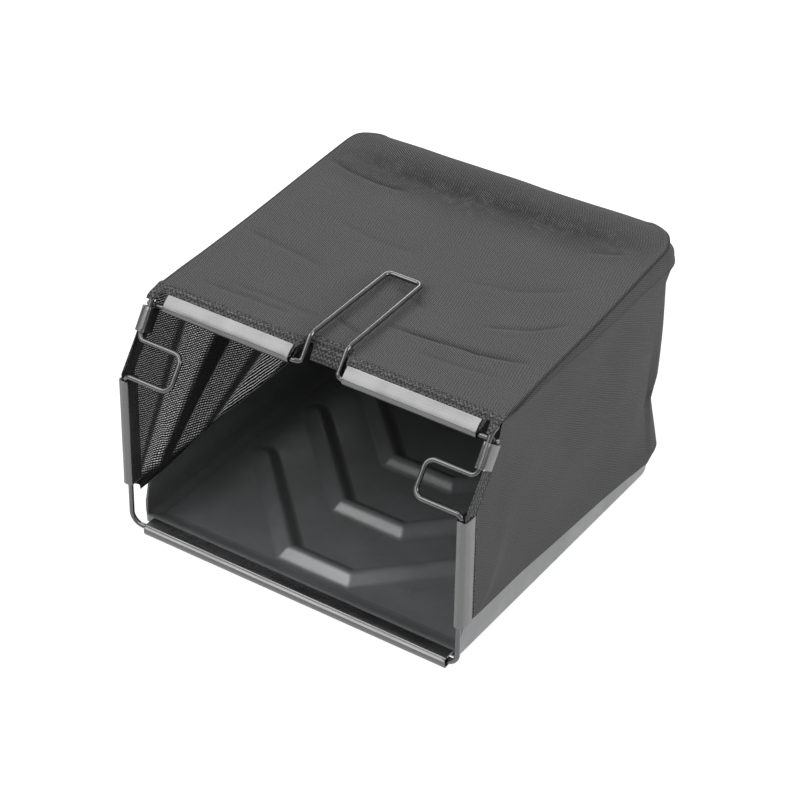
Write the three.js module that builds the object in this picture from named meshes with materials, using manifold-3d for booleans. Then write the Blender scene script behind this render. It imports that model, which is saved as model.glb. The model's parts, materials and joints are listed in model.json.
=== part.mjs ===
// Collection bag of a scarifier: a bent steel wire frame, a moulded tray as the bottom, a sewn mesh
// hood and seven plastic channels that clip the hood and the tray to the wires.
// Millimetres. +Z is up, +Y is the closed rear end, -Y is the open mouth. X = 0 is the middle plane.
// The sizes below are measured from the plane of the bottom wire (y = 0) and the underside of the tray
// (z = 0). At the end the whole part is moved so that its bounding box is centred on X = Y = 0 at z = 0.
import * as THREE from "three";
import Module from "manifold-3d";
import { mergeVertices } from "three/addons/utils/BufferGeometryUtils.js";

const wasm = await Module();
wasm.setup();

// Wire frame
const frame_width = 370; // between the centre lines of the two side wires
const wire_dia = 5;
const bottom_wire_z = 5.8; // centre line
const bottom_bend_r = 12;
const knee_y = 2.5; // the side wire turns inwards here
const knee_z = 173.85;
const loop_depth = 50.5; // how far the hanger loop reaches inwards
const loop_run = 22; // front to rear, lower leg of the loop to the upper one
const loop_rise = 28.5; // lower leg of the loop to the upper one
const knee_bend_r = 6;
const loop_bend_r = 9;
const lean_run = 22.57; // front to rear, along the leaning top of the side wire
const lean_rise = 33.25;
const corner_bend_r = 7;
const rail_drift = 10; // how far each side rail comes inwards towards the rear
const rail_length = 321;
const rail_rise = 22.4;
const rail_bend_r = 20;
const wire_joint = 0.5; // butt joint of the frame wire, inside the bottom channel
const weld_r = 3.7;

// Top rod with the lifting loop
const rod_drop = 5.8; // the rod crosses the leaning wires this far below their upper bend
const rod_overhang = 4; // past the outside of the side wires
const grip_half_width = 20; // middle plane to the centre line of a leg of the loop
const grip_rear_y = 188;
const grip_front_y = 67;
const grip_front_z = 248.2;
const grip_rear_z = 249.6;
const grip_exit_bend_r = 7;
const grip_bend_r = 6;

// Plastic channels, all of one section
const channel_wall = 1.3;
const channel_reach = 12.3; // legs, from the centre of the wire to their tips
const channel_corner_r = 1.9;
const bottom_channel_setback = 15; // its ends stop this short of the centre lines of the side wires
const side_channel_z0 = 51;
const side_channel_length = 118;
const upper_channel_start = 7; // along the leaning wire, from its lower end
const upper_channel_length = 24.4;
const top_channel_inner_x = 29.5;
const top_channel_setback = 14; // their outer ends stop this short of the same lines
const top_channel_tilt = 42; // degrees, the open side looks up and to the rear

// Sewn hood
const cloth = 0.8; // fabric and tape thickness
const roof_bend = 17; // from the rod to the fold where the flap turns into the roof
const roof_rear_lift = 4.5; // roof over the centre of the rear rail
const roof_sag = 9;
const hem_width = 18;
const edge_slack = 4; // the free edge between two channels bows inwards by this much
const seam_width = 9;
const corner_cut = 14; // fabric is cut away round the top corners of the frame
const edge_setback = 8; // below the side channels the front edge of the wall lies behind the wire
const rear_seam_angle = 45;

// Tray
const tray_inset = 7; // outside of the tray at the bottom, inside the centre lines of the side wires
const tray_front_y = 18;
const tray_overrun = 1.93; // its rear, behind the centre line of the rear rail
const tray_draft = 3; // degrees
const tray_wall = 2.2;
const tray_floor = 2.5;
const tray_corner_r = 28;
const tray_front_corner_r = 8;
const tray_base_r = 5;
const tray_rim_front = 42;
const tray_rim_rear = 50;
const tray_rim_y0 = 35;
const tray_rim_y1 = 135;
const lip_thickness = 2;
const lip_inset = 12; // ends of the lip, inside the outside of the tray
const rib_count = 3;
const rib_first_y = 37;
const rib_pitch = 87;
const rib_half_length = 40;
const rib_base = 25;
const rib_top = 5;
const rib_height = 9;
const rib_side_gap = 22; // tips of the ribs to the outside of the tray
const rib_rear_gap = 45;

// Lower edge of the hood against the tray
const skirt_front_z = 35.5;
const skirt_rear_z = 16;
const skirt_y0 = 100;
const skirt_tape = 13;

// Clearance between two pieces that touch
const gap = 0.3;

const wire_r = wire_dia / 2;
const half = frame_width / 2;
const knee = new THREE.Vector2(knee_y, knee_z);
const loop_top = new THREE.Vector2(knee_y + loop_run, knee_z + loop_rise);
const corner = new THREE.Vector2(loop_top.x + lean_run, loop_top.y + lean_rise);
const rail_rear_y = corner.x + rail_length;
const rail_rear_z = corner.y + rail_rise;
const rail_half_rear = half - rail_drift;
const bottom_channel_length = 2 * (half - bottom_channel_setback);
const top_channel_length = half - top_channel_setback - top_channel_inner_x;
const tray_half_width = half - tray_inset;
const tray_rear_y = rail_rear_y + tray_overrun;
const lip_half_width = tray_half_width - lip_inset;
const draft = Math.tan(THREE.MathUtils.degToRad(tray_draft));
const tilt = THREE.MathUtils.degToRad(top_channel_tilt);
const channel_a0 = -(wire_r + gap); // inner face of the leg beside the wire
const channel_a1 = wire_r + 3 * gap + 2 * cloth + 0.1; // inner face of the leg beside the fabric
const skin = wire_r + gap + cloth / 2; // wire centre to the middle of the fabric that lies on it
const seam_skin = wire_r + 2 * gap + 1.5 * cloth; // the same with a seam tape between them
const lip_z = bottom_wire_z + wire_r + gap;
const CORNER_STEPS = 8;

const lerp = THREE.MathUtils.lerp;
const clamp = THREE.MathUtils.clamp;
const smooth = (v) => THREE.MathUtils.smoothstep(v, 0, 1);
const lean_length = Math.hypot(lean_run, lean_rise);
const lean_dir = new THREE.Vector2(lean_run, lean_rise).divideScalar(lean_length);
const lean_back = new THREE.Vector2(lean_dir.y, -lean_dir.x); // square to the leaning wire, to the rear
const rod = corner.clone().addScaledVector(lean_dir, -rod_drop).addScaledVector(lean_back, wire_dia + gap);

// Scene graph: the pieces of the left side hang in a group that mirrors them about the middle plane.
const group = new THREE.Group();
const bag = new THREE.Group();
const left_side = new THREE.Group();
left_side.scale.x = -1;
group.add(bag);
bag.add(left_side);

const looks = {
  wire: { color: 0x1d1e20, roughness: 0.22, metalness: 0.85 },
  channel: { color: 0x2c2d2f, roughness: 0.38, metalness: 0 },
  tray: { color: 0x303133, roughness: 0.42, metalness: 0 },
  mesh: { color: 0x2b2b2c, roughness: 0.9, metalness: 0 },
  tape: { color: 0x262627, roughness: 0.95, metalness: 0 },
};

function add(name, look, geometry, parent = bag) {
  const mesh = new THREE.Mesh(geometry, new THREE.MeshStandardMaterial(looks[look]));
  mesh.name = name;
  parent.add(mesh);
  return mesh;
}

// The right-hand piece and its mirrored copy on the left.
function addPair(name, look, geometry) {
  return [add(name + "_right", look, geometry), add(name + "_left", look, geometry, left_side)];
}

// A closed surface from a list of points and triangles, turned so that its faces look outwards.
function solid(points, faces) {
  let volume = 0;
  const a = new THREE.Vector3();
  for (const [i, j, k] of faces) {
    a.crossVectors(points[j], points[k]);
    volume += points[i].dot(a);
  }
  const index = faces.flatMap(([i, j, k]) => (volume < 0 ? [i, k, j] : [i, j, k]));
  const geometry = new THREE.BufferGeometry().setFromPoints(points);
  geometry.setIndex(index);
  geometry.computeVertexNormals();
  return geometry;
}

function toManifold(geometry) {
  const g = geometry.index ? geometry : geometry.clone();
  const mesh = new wasm.Mesh({
    numProp: 3,
    vertProperties: new Float32Array(g.getAttribute("position").array),
    triVerts: new Uint32Array(g.index.array),
  });
  mesh.merge();
  return new wasm.Manifold(mesh);
}

function fromManifold(m) {
  const mesh = m.getMesh();
  const g = new THREE.BufferGeometry();
  g.setAttribute("position", new THREE.BufferAttribute(new Float32Array(mesh.vertProperties), 3));
  g.setIndex(new THREE.BufferAttribute(new Uint32Array(mesh.triVerts), 1));
  g.computeVertexNormals();
  return g;
}

// The same for a three.js primitive, whose seams hold double points.
function closed(geometry) {
  return toManifold(mergeVertices(new THREE.BufferGeometry().setIndex(geometry.index)
    .setAttribute("position", geometry.getAttribute("position")), 1e-4));
}

// Centre line with rounded bends: each entry is [point, bend radius, steps].
function bentPath(entries) {
  const out = [];
  entries.forEach(([p, radius, steps], i) => {
    if (!radius || i === 0 || i === entries.length - 1) {
      out.push(p.clone());
      return;
    }
    const back = entries[i - 1][0].clone().sub(p).normalize();
    const ahead = entries[i + 1][0].clone().sub(p).normalize();
    const turn = Math.PI - back.angleTo(ahead);
    const reach = radius * Math.tan(turn / 2);
    const inward = back.clone().add(ahead).normalize();
    const centre = p.clone().addScaledVector(inward, radius / Math.cos(turn / 2));
    const start = p.clone().addScaledVector(back, reach).sub(centre);
    const axis = start.clone().cross(p.clone().addScaledVector(ahead, reach).sub(centre)).normalize();
    for (let s = 0; s <= steps; s++) {
      out.push(start.clone().applyAxisAngle(axis, (turn * s) / steps).add(centre));
    }
  });
  return out;
}

// Round bar along a centre line, closed at both ends.
function bar(path, radius, sides = 14) {
  const points = [];
  const faces = [];
  const direction = (i) => path[Math.min(i + 1, path.length - 1)].clone().sub(path[Math.max(i - 1, 0)]).normalize();
  let normal = new THREE.Vector3(0.3, 0.5, 0.8).cross(direction(0)).normalize();
  path.forEach((p, i) => {
    const t = direction(i);
    normal = normal.addScaledVector(t, -normal.dot(t)).normalize();
    const side = t.clone().cross(normal);
    const into = i ? p.clone().sub(path[i - 1]).normalize() : t;
    const stretch = 1 / Math.max(into.dot(t), 0.5);
    const bend = i && i < path.length - 1 ? path[i + 1].clone().sub(p).normalize().sub(into) : new THREE.Vector3();
    const across = bend.lengthSq() > 1e-12 ? bend.normalize() : new THREE.Vector3();
    for (let s = 0; s < sides; s++) {
      const angle = (2 * Math.PI * s) / sides;
      const spoke = normal.clone().multiplyScalar(Math.cos(angle)).addScaledVector(side, Math.sin(angle));
      spoke.addScaledVector(across, spoke.dot(across) * (stretch - 1));
      points.push(p.clone().addScaledVector(spoke, radius));
    }
  });
  for (let i = 0; i < path.length - 1; i++) {
    for (let s = 0; s < sides; s++) {
      const n = (s + 1) % sides;
      const a = i * sides + s;
      const b = i * sides + n;
      faces.push([a, b, b + sides], [a, b + sides, a + sides]);
    }
  }
  const last = (path.length - 1) * sides;
  for (let s = 1; s < sides - 1; s++) {
    faces.push([0, s + 1, s], [last, last + s, last + s + 1]);
  }
  return solid(points, faces);
}

// Unit normals of a grid of points, grid[i][j].
function gridNormals(grid) {
  const columns = grid.length;
  const rows = grid[0].length;
  return grid.map((column, i) =>
    column.map((_, j) => {
      const du = grid[Math.min(i + 1, columns - 1)][j].clone().sub(grid[Math.max(i - 1, 0)][j]);
      const dv = grid[i][Math.min(j + 1, rows - 1)].clone().sub(grid[i][Math.max(j - 1, 0)]);
      return du.cross(dv).normalize();
    }),
  );
}

function moved(grid, normals, distance) {
  return grid.map((column, i) => column.map((p, j) => p.clone().addScaledVector(normals[i][j], distance)));
}

// Fabric of even thickness between two grids of the same shape.
function layer(lower, upper) {
  const columns = lower.length;
  const rows = lower[0].length;
  const points = [...lower.flat(), ...upper.flat()];
  const top = columns * rows;
  const faces = [];
  const at = (i, j) => i * rows + j;
  for (let i = 0; i < columns - 1; i++) {
    for (let j = 0; j < rows - 1; j++) {
      const [a, b, c, d] = [at(i, j), at(i + 1, j), at(i + 1, j + 1), at(i, j + 1)];
      faces.push([a, c, b], [a, d, c], [top + a, top + b, top + c], [top + a, top + c, top + d]);
    }
  }
  const rim = [];
  for (let i = 0; i < columns - 1; i++) rim.push(at(i, 0));
  for (let j = 0; j < rows - 1; j++) rim.push(at(columns - 1, j));
  for (let i = columns - 1; i > 0; i--) rim.push(at(i, rows - 1));
  for (let j = rows - 1; j > 0; j--) rim.push(at(0, j));
  rim.forEach((a, k) => {
    const b = rim[(k + 1) % rim.length];
    faces.push([a, b, top + b], [a, top + b, top + a]);
  });
  return solid(points, faces);
}

// Height of the roof's fabric at its side edges, from the fold behind the top channels to the rear.
const flap_dir = new THREE.Vector2(Math.cos(tilt), Math.sin(tilt));
const flap_up = new THREE.Vector2(-Math.sin(tilt), Math.cos(tilt));
const flapAt = (u) => rod.clone().addScaledVector(flap_dir, u).addScaledVector(flap_up, skin);
const fold = flapAt(roof_bend);
const roof_end_y = rail_rear_y + seam_skin;
const roof_end_z = rail_rear_z + roof_rear_lift;
const roofZ = (y) => lerp(fold.y, roof_end_z, (y - fold.x) / (roof_end_y - fold.x));
const roofUnder = (y) => roofZ(y) - cloth / 2 - gap;

// Half width of the hood along its top edge, to the middle of the fabric.
const rail_straight = rail_length - rail_bend_r - 1;
const railX = (y) => half - rail_drift * clamp((y - corner.x) / rail_straight, 0, 1);
const wallTopX = (y) => railX(y) + skin + (seam_skin - skin) * smooth((y - corner.x) / 28);

// Frame wire, one length bent to shape, its ends meeting inside the bottom channel.
const V = (x, y, z) => new THREE.Vector3(x, y, z);
const right_half = [
  [V(half, 0, bottom_wire_z), bottom_bend_r, 6],
  [V(half, knee.x, knee.y), knee_bend_r, 5],
  [V(half - loop_depth, knee.x, knee.y), loop_bend_r, 6],
  [V(half - loop_depth, loop_top.x, loop_top.y), loop_bend_r, 6],
  [V(half, loop_top.x, loop_top.y), knee_bend_r, 5],
  [V(half, corner.x, corner.y), corner_bend_r, 4],
  [V(rail_half_rear, corner.x + rail_straight, corner.y + (rail_rise * rail_straight) / rail_length), 0, 0],
  [V(rail_half_rear, rail_rear_y, rail_rear_z), rail_bend_r, CORNER_STEPS],
];
const left_half = right_half.map(([p, r, n]) => [p.clone().multiply(V(-1, 1, 1)), r, n]).reverse();
const frame_path = bentPath([
  [V(wire_joint / 2, 0, bottom_wire_z), 0, 0],
  ...right_half,
  ...left_half,
  [V(-wire_joint / 2, 0, bottom_wire_z), 0, 0],
]);
add("frame_wire", "wire", bar(frame_path, wire_r));

// Top rod: straight inside the two channels, bent up in the middle into the lifting loop.
const rod_end = half + wire_r + rod_overhang;
const grip_exit_y = rod.x + 3;
const grip_exit_z = rod.y - 1;
const top_rod_path = bentPath([
  [V(rod_end, rod.x, rod.y), 0, 0],
  [V(grip_half_width + 6, rod.x, rod.y), 8, 3],
  [V(grip_half_width, grip_exit_y, grip_exit_z), 3.5, 4],
  [V(grip_half_width, grip_front_y, grip_front_z), grip_exit_bend_r, 5],
  [V(grip_half_width - 1, grip_rear_y, grip_rear_z), grip_bend_r, 6],
  [V(1 - grip_half_width, grip_rear_y, grip_rear_z), grip_bend_r, 6],
  [V(-grip_half_width, grip_front_y, grip_front_z), grip_exit_bend_r, 5],
  [V(-grip_half_width, grip_exit_y, grip_exit_z), 3.5, 4],
  [V(-grip_half_width - 6, rod.x, rod.y), 8, 3],
  [V(-rod_end, rod.x, rod.y), 0, 0],
]);
add("top_rod", "wire", bar(top_rod_path, wire_r));

// Weld where the top rod crosses behind each side wire: a saddle of metal round the point of contact.
function weldBead() {
  const touch = corner.clone().addScaledVector(lean_dir, -rod_drop).addScaledVector(lean_back, (wire_dia + gap) / 2);
  const blob = new THREE.SphereGeometry(weld_r, 24, 16).translate(half, touch.x, touch.y);
  const wire = bar(frame_path, wire_r + gap, 20);
  const cross = bar([V(half - 12, rod.x, rod.y), V(half + 12, rod.x, rod.y)], wire_r + gap, 28);
  return fromManifold(closed(blob).subtract(closed(wire)).subtract(closed(cross)));
}

// Section of the channels: x across (wire side negative, fabric side positive), y the open direction.
function channelShape() {
  const o0 = channel_a0 - channel_wall;
  const o1 = channel_a1 + channel_wall;
  const back = -(wire_r + gap);
  const r = channel_corner_r;
  const ri = Math.max(r - channel_wall, 0.4);
  const tip = channel_reach;
  const s = new THREE.Shape();
  s.moveTo(o0, tip);
  s.lineTo(o0, back - channel_wall + r);
  s.absarc(o0 + r, back - channel_wall + r, r, Math.PI, 1.5 * Math.PI, false);
  s.lineTo(o1 - r, back - channel_wall);
  s.absarc(o1 - r, back - channel_wall + r, r, 1.5 * Math.PI, 2 * Math.PI, false);
  s.lineTo(o1, tip);
  s.lineTo(channel_a1, tip);
  s.lineTo(channel_a1, back + ri);
  s.absarc(channel_a1 - ri, back + ri, ri, 0, -0.5 * Math.PI, true);
  s.lineTo(channel_a0 + ri, back);
  s.absarc(channel_a0 + ri, back + ri, ri, 1.5 * Math.PI, Math.PI, true);
  s.lineTo(channel_a0, tip);
  s.closePath();
  return s;
}

function channel(length) {
  return new THREE.ExtrudeGeometry(channelShape(), { depth: length, bevelEnabled: false, curveSegments: 4 });
}

// Puts a channel at a point on the wire, along `run`, open towards `open`, fabric on the side of open x run.
function place(mesh, start, run, open) {
  mesh.position.copy(start);
  mesh.quaternion.setFromRotationMatrix(new THREE.Matrix4().makeBasis(open.clone().cross(run), open, run));
}
const lean = V(0, lean_run, lean_rise).normalize();
const lean_open = V(0, lean_rise, -lean_run).normalize();
const side_dir = V(0, knee_y, knee_z - bottom_wire_z).normalize();
const side_open = V(0, side_dir.z, -side_dir.y);
const side_start = V(half, 0, bottom_wire_z).addScaledVector(side_dir, (side_channel_z0 - bottom_wire_z) / side_dir.z);
const upper_start = V(half, loop_top.x, loop_top.y).addScaledVector(lean, upper_channel_start);
const top_open = V(0, flap_dir.x, flap_dir.y);
const top_start = V(top_channel_inner_x + top_channel_length, rod.x, rod.y);
const bottom_start = V(bottom_channel_length / 2, 0, bottom_wire_z);
addPair("weld_bead", "wire", weldBead());
addPair("side_channel", "channel", channel(side_channel_length))
  .forEach((m) => place(m, side_start, side_dir, side_open));
addPair("upper_channel", "channel", channel(upper_channel_length))
  .forEach((m) => place(m, upper_start, lean, lean_open));
addPair("top_channel", "channel", channel(top_channel_length))
  .forEach((m) => place(m, top_start, V(-1, 0, 0), top_open));
place(add("bottom_channel", "channel", channel(bottom_channel_length)), bottom_start, V(-1, 0, 0), V(0, 1, 0));

// Outline of the tray seen from above, as [x, y, outward normal], grown by `grow`.
function trayOutline(grow) {
  const out = [];
  const w = tray_half_width + grow;
  const arc = (cx, cy, r, from, to, steps) => {
    for (let s = 0; s <= steps; s++) {
      const a = lerp(from, to, s / steps);
      out.push([cx + r * Math.cos(a), cy + r * Math.sin(a)]);
    }
  };
  const q = Math.PI / 2;
  const rf = Math.max(tray_front_corner_r + grow, 0.5);
  const rr = Math.max(tray_corner_r + grow, 0.5);
  const y0 = tray_front_y - grow;
  const y1 = tray_rear_y + grow;
  const stops = [0.015, 0.03, 0.05, 0.1, 0.2, 0.3, 0.5, 0.75];
  const run = (x, ya, yb, list) => list.forEach((t) => out.push([x, lerp(ya, yb, t)]));
  arc(w - rf, y0 + rf, rf, -q, 0, 6);
  run(w, y0 + rf, y1 - rr, stops);
  arc(w - rr, y1 - rr, rr, 0, q, CORNER_STEPS);
  arc(-w + rr, y1 - rr, rr, q, 2 * q, CORNER_STEPS);
  run(-w, y0 + rf, y1 - rr, [...stops].reverse());
  arc(-w + rf, y0 + rf, rf, 2 * q, 3 * q, 6);
  return out;
}

// Height of the tray's rim: low along the mouth, rising behind it.
const rimSide = (y) => lerp(tray_rim_front, tray_rim_rear, smooth((y - tray_rim_y0) / (tray_rim_y1 - tray_rim_y0)));
function rimZ(y) {
  const low = lip_z + lip_thickness;
  return lerp(low, rimSide(y), smooth((y - tray_front_y - 1) / 12));
}

function trayShell() {
  const rings = [
    { grow: () => -tray_base_r, z: () => 0 },
    { grow: () => -tray_base_r * 0.29, z: () => tray_base_r * 0.29 },
    { grow: () => tray_base_r * draft, z: () => tray_base_r },
    { grow: (z) => z * draft, z: rimZ },
    { grow: (z) => z * draft - tray_wall, z: rimZ },
    { grow: () => 8 * draft - tray_wall, z: () => 8 },
    { grow: () => 8 * draft - tray_wall - 3, z: () => 7.4 },
    { grow: () => -tray_base_r - 2, z: () => tray_floor },
  ];
  const base = trayOutline(0);
  const grown = (g) => trayOutline(g);
  const points = [];
  rings.forEach((ring) => {
    base.forEach(([, y], k) => {
      const z = ring.z(y);
      const [px, py] = grown(ring.grow(z))[k];
      points.push(V(px, py, z));
    });
  });
  const n = base.length;
  const faces = [];
  for (let r = 0; r < rings.length - 1; r++) {
    for (let k = 0; k < n; k++) {
      const m = (k + 1) % n;
      const a = r * n + k;
      const b = r * n + m;
      faces.push([a, b, b + n], [a, b + n, a + n]);
    }
  }
  const cap = (r) => THREE.ShapeUtils.triangulateShape(
    points.slice(r * n, r * n + n).map((p) => new THREE.Vector2(p.x, p.y)), []);
  cap(0).forEach(([i, j, k]) => faces.push([i, k, j]));
  const last = (rings.length - 1) * n;
  cap(rings.length - 1).forEach(([i, j, k]) => faces.push([last + i, last + j, last + k]));
  return solid(points, faces);
}

// One embossed rib: a half hexagon of trapezium section with its middle bar towards the mouth.
function ribBody(index, shrink, z0) {
  const y = rib_first_y + rib_pitch * index + rib_base / 2;
  const line = (w) => {
    const front = y - w;
    const xf = rib_half_length + (w - rib_base / 2) * Math.tan(Math.PI / 8);
    return { front, xf };
  };
  const reach = Math.min(tray_half_width - rib_side_gap - rib_half_length, tray_rear_y - rib_rear_gap - y);
  const loopAt = (w, z) => {
    const a = line(w);
    const b = line(-w);
    const ex = rib_half_length + reach;
    const d = w * Math.SQRT2;
    return [
      [-a.xf, a.front], [a.xf, a.front],
      [ex + d / 2, a.front + (ex + d / 2 - a.xf)],
      [ex - d / 2, b.front + (ex - d / 2 - b.xf)],
      [b.xf, b.front], [-b.xf, b.front],
      [-ex + d / 2, b.front + (ex - d / 2 - b.xf)],
      [-ex - d / 2, a.front + (ex + d / 2 - a.xf)],
    ].map(([px, py]) => V(px, py, z));
  };
  const lower = loopAt(rib_base / 2 - shrink, z0);
  const upper = loopAt(rib_top / 2 - shrink, z0 + rib_height);
  const points = [...lower, ...upper];
  const n = lower.length;
  const faces = [];
  for (let k = 0; k < n; k++) {
    const m = (k + 1) % n;
    faces.push([k, m, n + m], [k, n + m, n + k]);
  }
  THREE.ShapeUtils.triangulateShape(lower.map((p) => new THREE.Vector2(p.x, p.y)), []).forEach(([i, j, k]) => {
    faces.push([i, k, j], [n + i, n + j, n + k]);
  });
  return toManifold(solid(points, faces));
}

let tray = toManifold(trayShell());
for (let i = 0; i < rib_count; i++) {
  tray = tray.add(ribBody(i, 0, tray_floor - 0.4));
}
for (let i = 0; i < rib_count; i++) {
  tray = tray.subtract(ribBody(i, 1.6, -0.4));
}
const lip_depth = tray_front_y + tray_wall - 0.5 + wire_r;
const lip = new THREE.BoxGeometry(2 * lip_half_width, lip_depth, lip_thickness)
  .translate(0, tray_front_y + tray_wall - 0.5 - lip_depth / 2, lip_z + lip_thickness / 2);
tray = tray.add(closed(lip));
add("tray", "tray", fromManifold(tray));

// Columns of the hood's wall: plan points at the bottom and at the top, right half, front to rear.
const wall_out = 2 * gap + 1.5 * cloth; // outside of the tray to the middle of the wall fabric
const top_corner_r = rail_bend_r + seam_skin;
function wallColumn(y) {
  return {
    y,
    bottom: V(tray_half_width + wall_out, y, 0),
    top: V(wallTopX(y), y, 0),
    out: V(1, 0, 0),
  };
}
function cornerColumn(angle) {
  const a = THREE.MathUtils.degToRad(angle);
  const out = V(Math.cos(a), Math.sin(a), 0);
  const r0 = tray_corner_r + wall_out;
  return {
    y: tray_rear_y,
    bottom: V(tray_half_width - tray_corner_r, tray_rear_y - tray_corner_r, 0).addScaledVector(out, r0),
    top: V(rail_half_rear - rail_bend_r, rail_rear_y - rail_bend_r, 0).addScaledVector(out, top_corner_r),
    out,
  };
}
function rearColumn(t) {
  return {
    y: tray_rear_y,
    bottom: V(t * (tray_half_width - tray_corner_r), tray_rear_y + wall_out, 0),
    top: V(t * (rail_half_rear - rail_bend_r), rail_rear_y + seam_skin, 0),
    out: V(0, 1, 0),
  };
}

// Front outline of the wall: it follows the frame wire up to the top of the upper channel, then steps back.
const cut_from = upper_start.clone().addScaledVector(lean, upper_channel_length - 1);
const cut_y = cut_from.y;
const notch_reach = channel_reach + 1;
const step_y = cut_y + lean_back.x * notch_reach;
const full_y = Math.max(fold.x, step_y + 3);
function wallTopZ(y) {
  if (y < loop_top.x) {
    const t = (y - knee.x) / loop_run;
    return lerp(knee.y, loop_top.y, t) - edge_slack * Math.sin(Math.PI * clamp(t, 0, 1));
  }
  if (y < cut_y) return lerp(loop_top.y, corner.y, (y - loop_top.x) / lean_run);
  const notch_z = cut_from.z + lean_back.y * notch_reach;
  if (y < step_y) return lerp(cut_from.z, notch_z, (y - cut_y) / (step_y - cut_y));
  if (y < full_y) return lerp(notch_z, roofUnder(full_y), (y - step_y) / (full_y - step_y));
  return roofUnder(y);
}
const skirtZ = (y) => lerp(skirt_front_z, skirt_rear_z, clamp((y - skirt_y0) / (tray_rear_y - 10 - skirt_y0), 0, 1));
const blendZ0 = (y) => rimSide(y) + 1;
function blendHeight(y, top) {
  const near = side_channel_z0 - 1 - blendZ0(y);
  const far = top - blendZ0(y) - 2 * seam_width;
  return lerp(near, Math.max(far, near), smooth((y - 28) / 90));
}
function wallPoint(column, z, top) {
  const w = smooth((z - blendZ0(column.y)) / blendHeight(column.y, top));
  const low = column.bottom.clone().addScaledVector(column.out, z * draft);
  const behind = column.y < tray_front_y ? edge_setback * (1 - (column.y - knee_y) / (tray_front_y - knee_y)) : 0;
  low.y += behind;
  return low.lerp(column.top, w).setZ(z);
}
const topOf = (c) => (c.y >= tray_rear_y ? roofUnder(c.top.y) : wallTopZ(c.y));
function wallRows(column) {
  const top = topOf(column);
  const z0 = skirtZ(column.y);
  const za = blendZ0(column.y);
  const h = blendHeight(column.y, top);
  const rows = [z0, za, za + h * 0.25, za + h * 0.5, za + h * 0.75, za + h];
  for (let k = 1; k <= 6; k++) rows.push(lerp(za + h, top, k / 6));
  return rows;
}
const wallGrid = (columns) => columns.map((c) => wallRows(c).map((z) => wallPoint(c, z, topOf(c))));
const outwards = (columns, rows) => columns.map((c) => Array.from({ length: rows }, () => c.out));
function wallLayer(columns, grid, from, to) {
  const normals = outwards(columns, grid[0].length);
  return layer(moved(grid, normals, from), moved(grid, normals, to));
}

const edge_y = [knee_y - 0.5, 7, 13, 18.5, loop_top.x, 31, 37, cut_y - 0.01, step_y, full_y];
const run_y = [70, 85, 105, 130, 160, 190, 220, 250, 280, 310, 330];
const corner_y = tray_rear_y - tray_corner_r;
const angles = [0, 11.25, 22.5, 33.75];
const mirror_angle = angles.map((a) => 90 - a).reverse();
const side_columns = [
  ...edge_y.map(wallColumn),
  ...run_y.filter((y) => y > full_y + 4 && y < corner_y - 4).map(wallColumn),
  ...angles.map(cornerColumn),
  cornerColumn(rear_seam_angle - 0.6),
];
const half_rear = [
  cornerColumn(rear_seam_angle + 0.6),
  ...mirror_angle.slice(0, -1).map(cornerColumn),
  ...[1, 0.8, 0.6, 0.4, 0.2].map(rearColumn),
];
const flipColumn = (c) => ({
  y: c.y,
  bottom: c.bottom.clone().multiply(V(-1, 1, 1)),
  top: c.top.clone().multiply(V(-1, 1, 1)),
  out: c.out.clone().multiply(V(-1, 1, 1)),
});
const rear_columns = [...half_rear, rearColumn(0), ...half_rear.map(flipColumn).reverse()];

addPair("side_panel", "mesh", wallLayer(side_columns, wallGrid(side_columns), -cloth / 2, cloth / 2));
add("rear_panel", "mesh", wallLayer(rear_columns, wallGrid(rear_columns), -cloth / 2, cloth / 2));

// Tape sewn along the lower edge of the hood, between the fabric and the outside of the tray.
function lowerTape(columns) {
  const grid = columns.map((c) => {
    const z0 = skirtZ(c.y) + 0.5;
    const z1 = Math.min(z0 + skirt_tape, rimSide(c.y) - 0.5);
    return [z0, z1].map((z) => wallPoint(c, z, topOf(c)));
  });
  return wallLayer(columns, grid, -gap - 1.5 * cloth, -gap - cloth / 2);
}
const taped = side_columns.filter((c) => c.y > loop_top.x - 1);
addPair("lower_tape", "tape", lowerTape(taped));
add("lower_tape_rear", "tape", lowerTape(rear_columns));

// Tape sewn inside the seam between the roof and the walls.
function seamTape(columns) {
  const grid = columns.map((c) => {
    const top = topOf(c);
    return [top - seam_width, top - gap].map((z) => wallPoint(c, z, top));
  });
  return wallLayer(columns, grid, -gap - 1.5 * cloth, -gap - cloth / 2);
}
const seamed = side_columns.filter((c) => c.y > full_y + 14);
addPair("seam_tape", "tape", seamTape(seamed));
add("seam_tape_rear", "tape", seamTape(rear_columns));

// Tape sewn inside the upright seam at each rear corner.
function uprightTape() {
  const columns = [-10, -5, 0, 5, 10].map((a) => cornerColumn(rear_seam_angle + a));
  const top = topOf(columns[0]);
  const grid = columns.map((c) => {
    const rows = [];
    for (let k = 0; k <= 8; k++) {
      rows.push(lerp(tray_rim_rear + 2.5, top - seam_width - 1, k / 8));
    }
    return rows.map((z) => wallPoint(c, z, top));
  });
  return wallLayer(columns, grid, -gap - 1.5 * cloth - 0.3, -gap - cloth / 2 - 0.3);
}
addPair("corner_tape", "tape", uprightTape());

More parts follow.
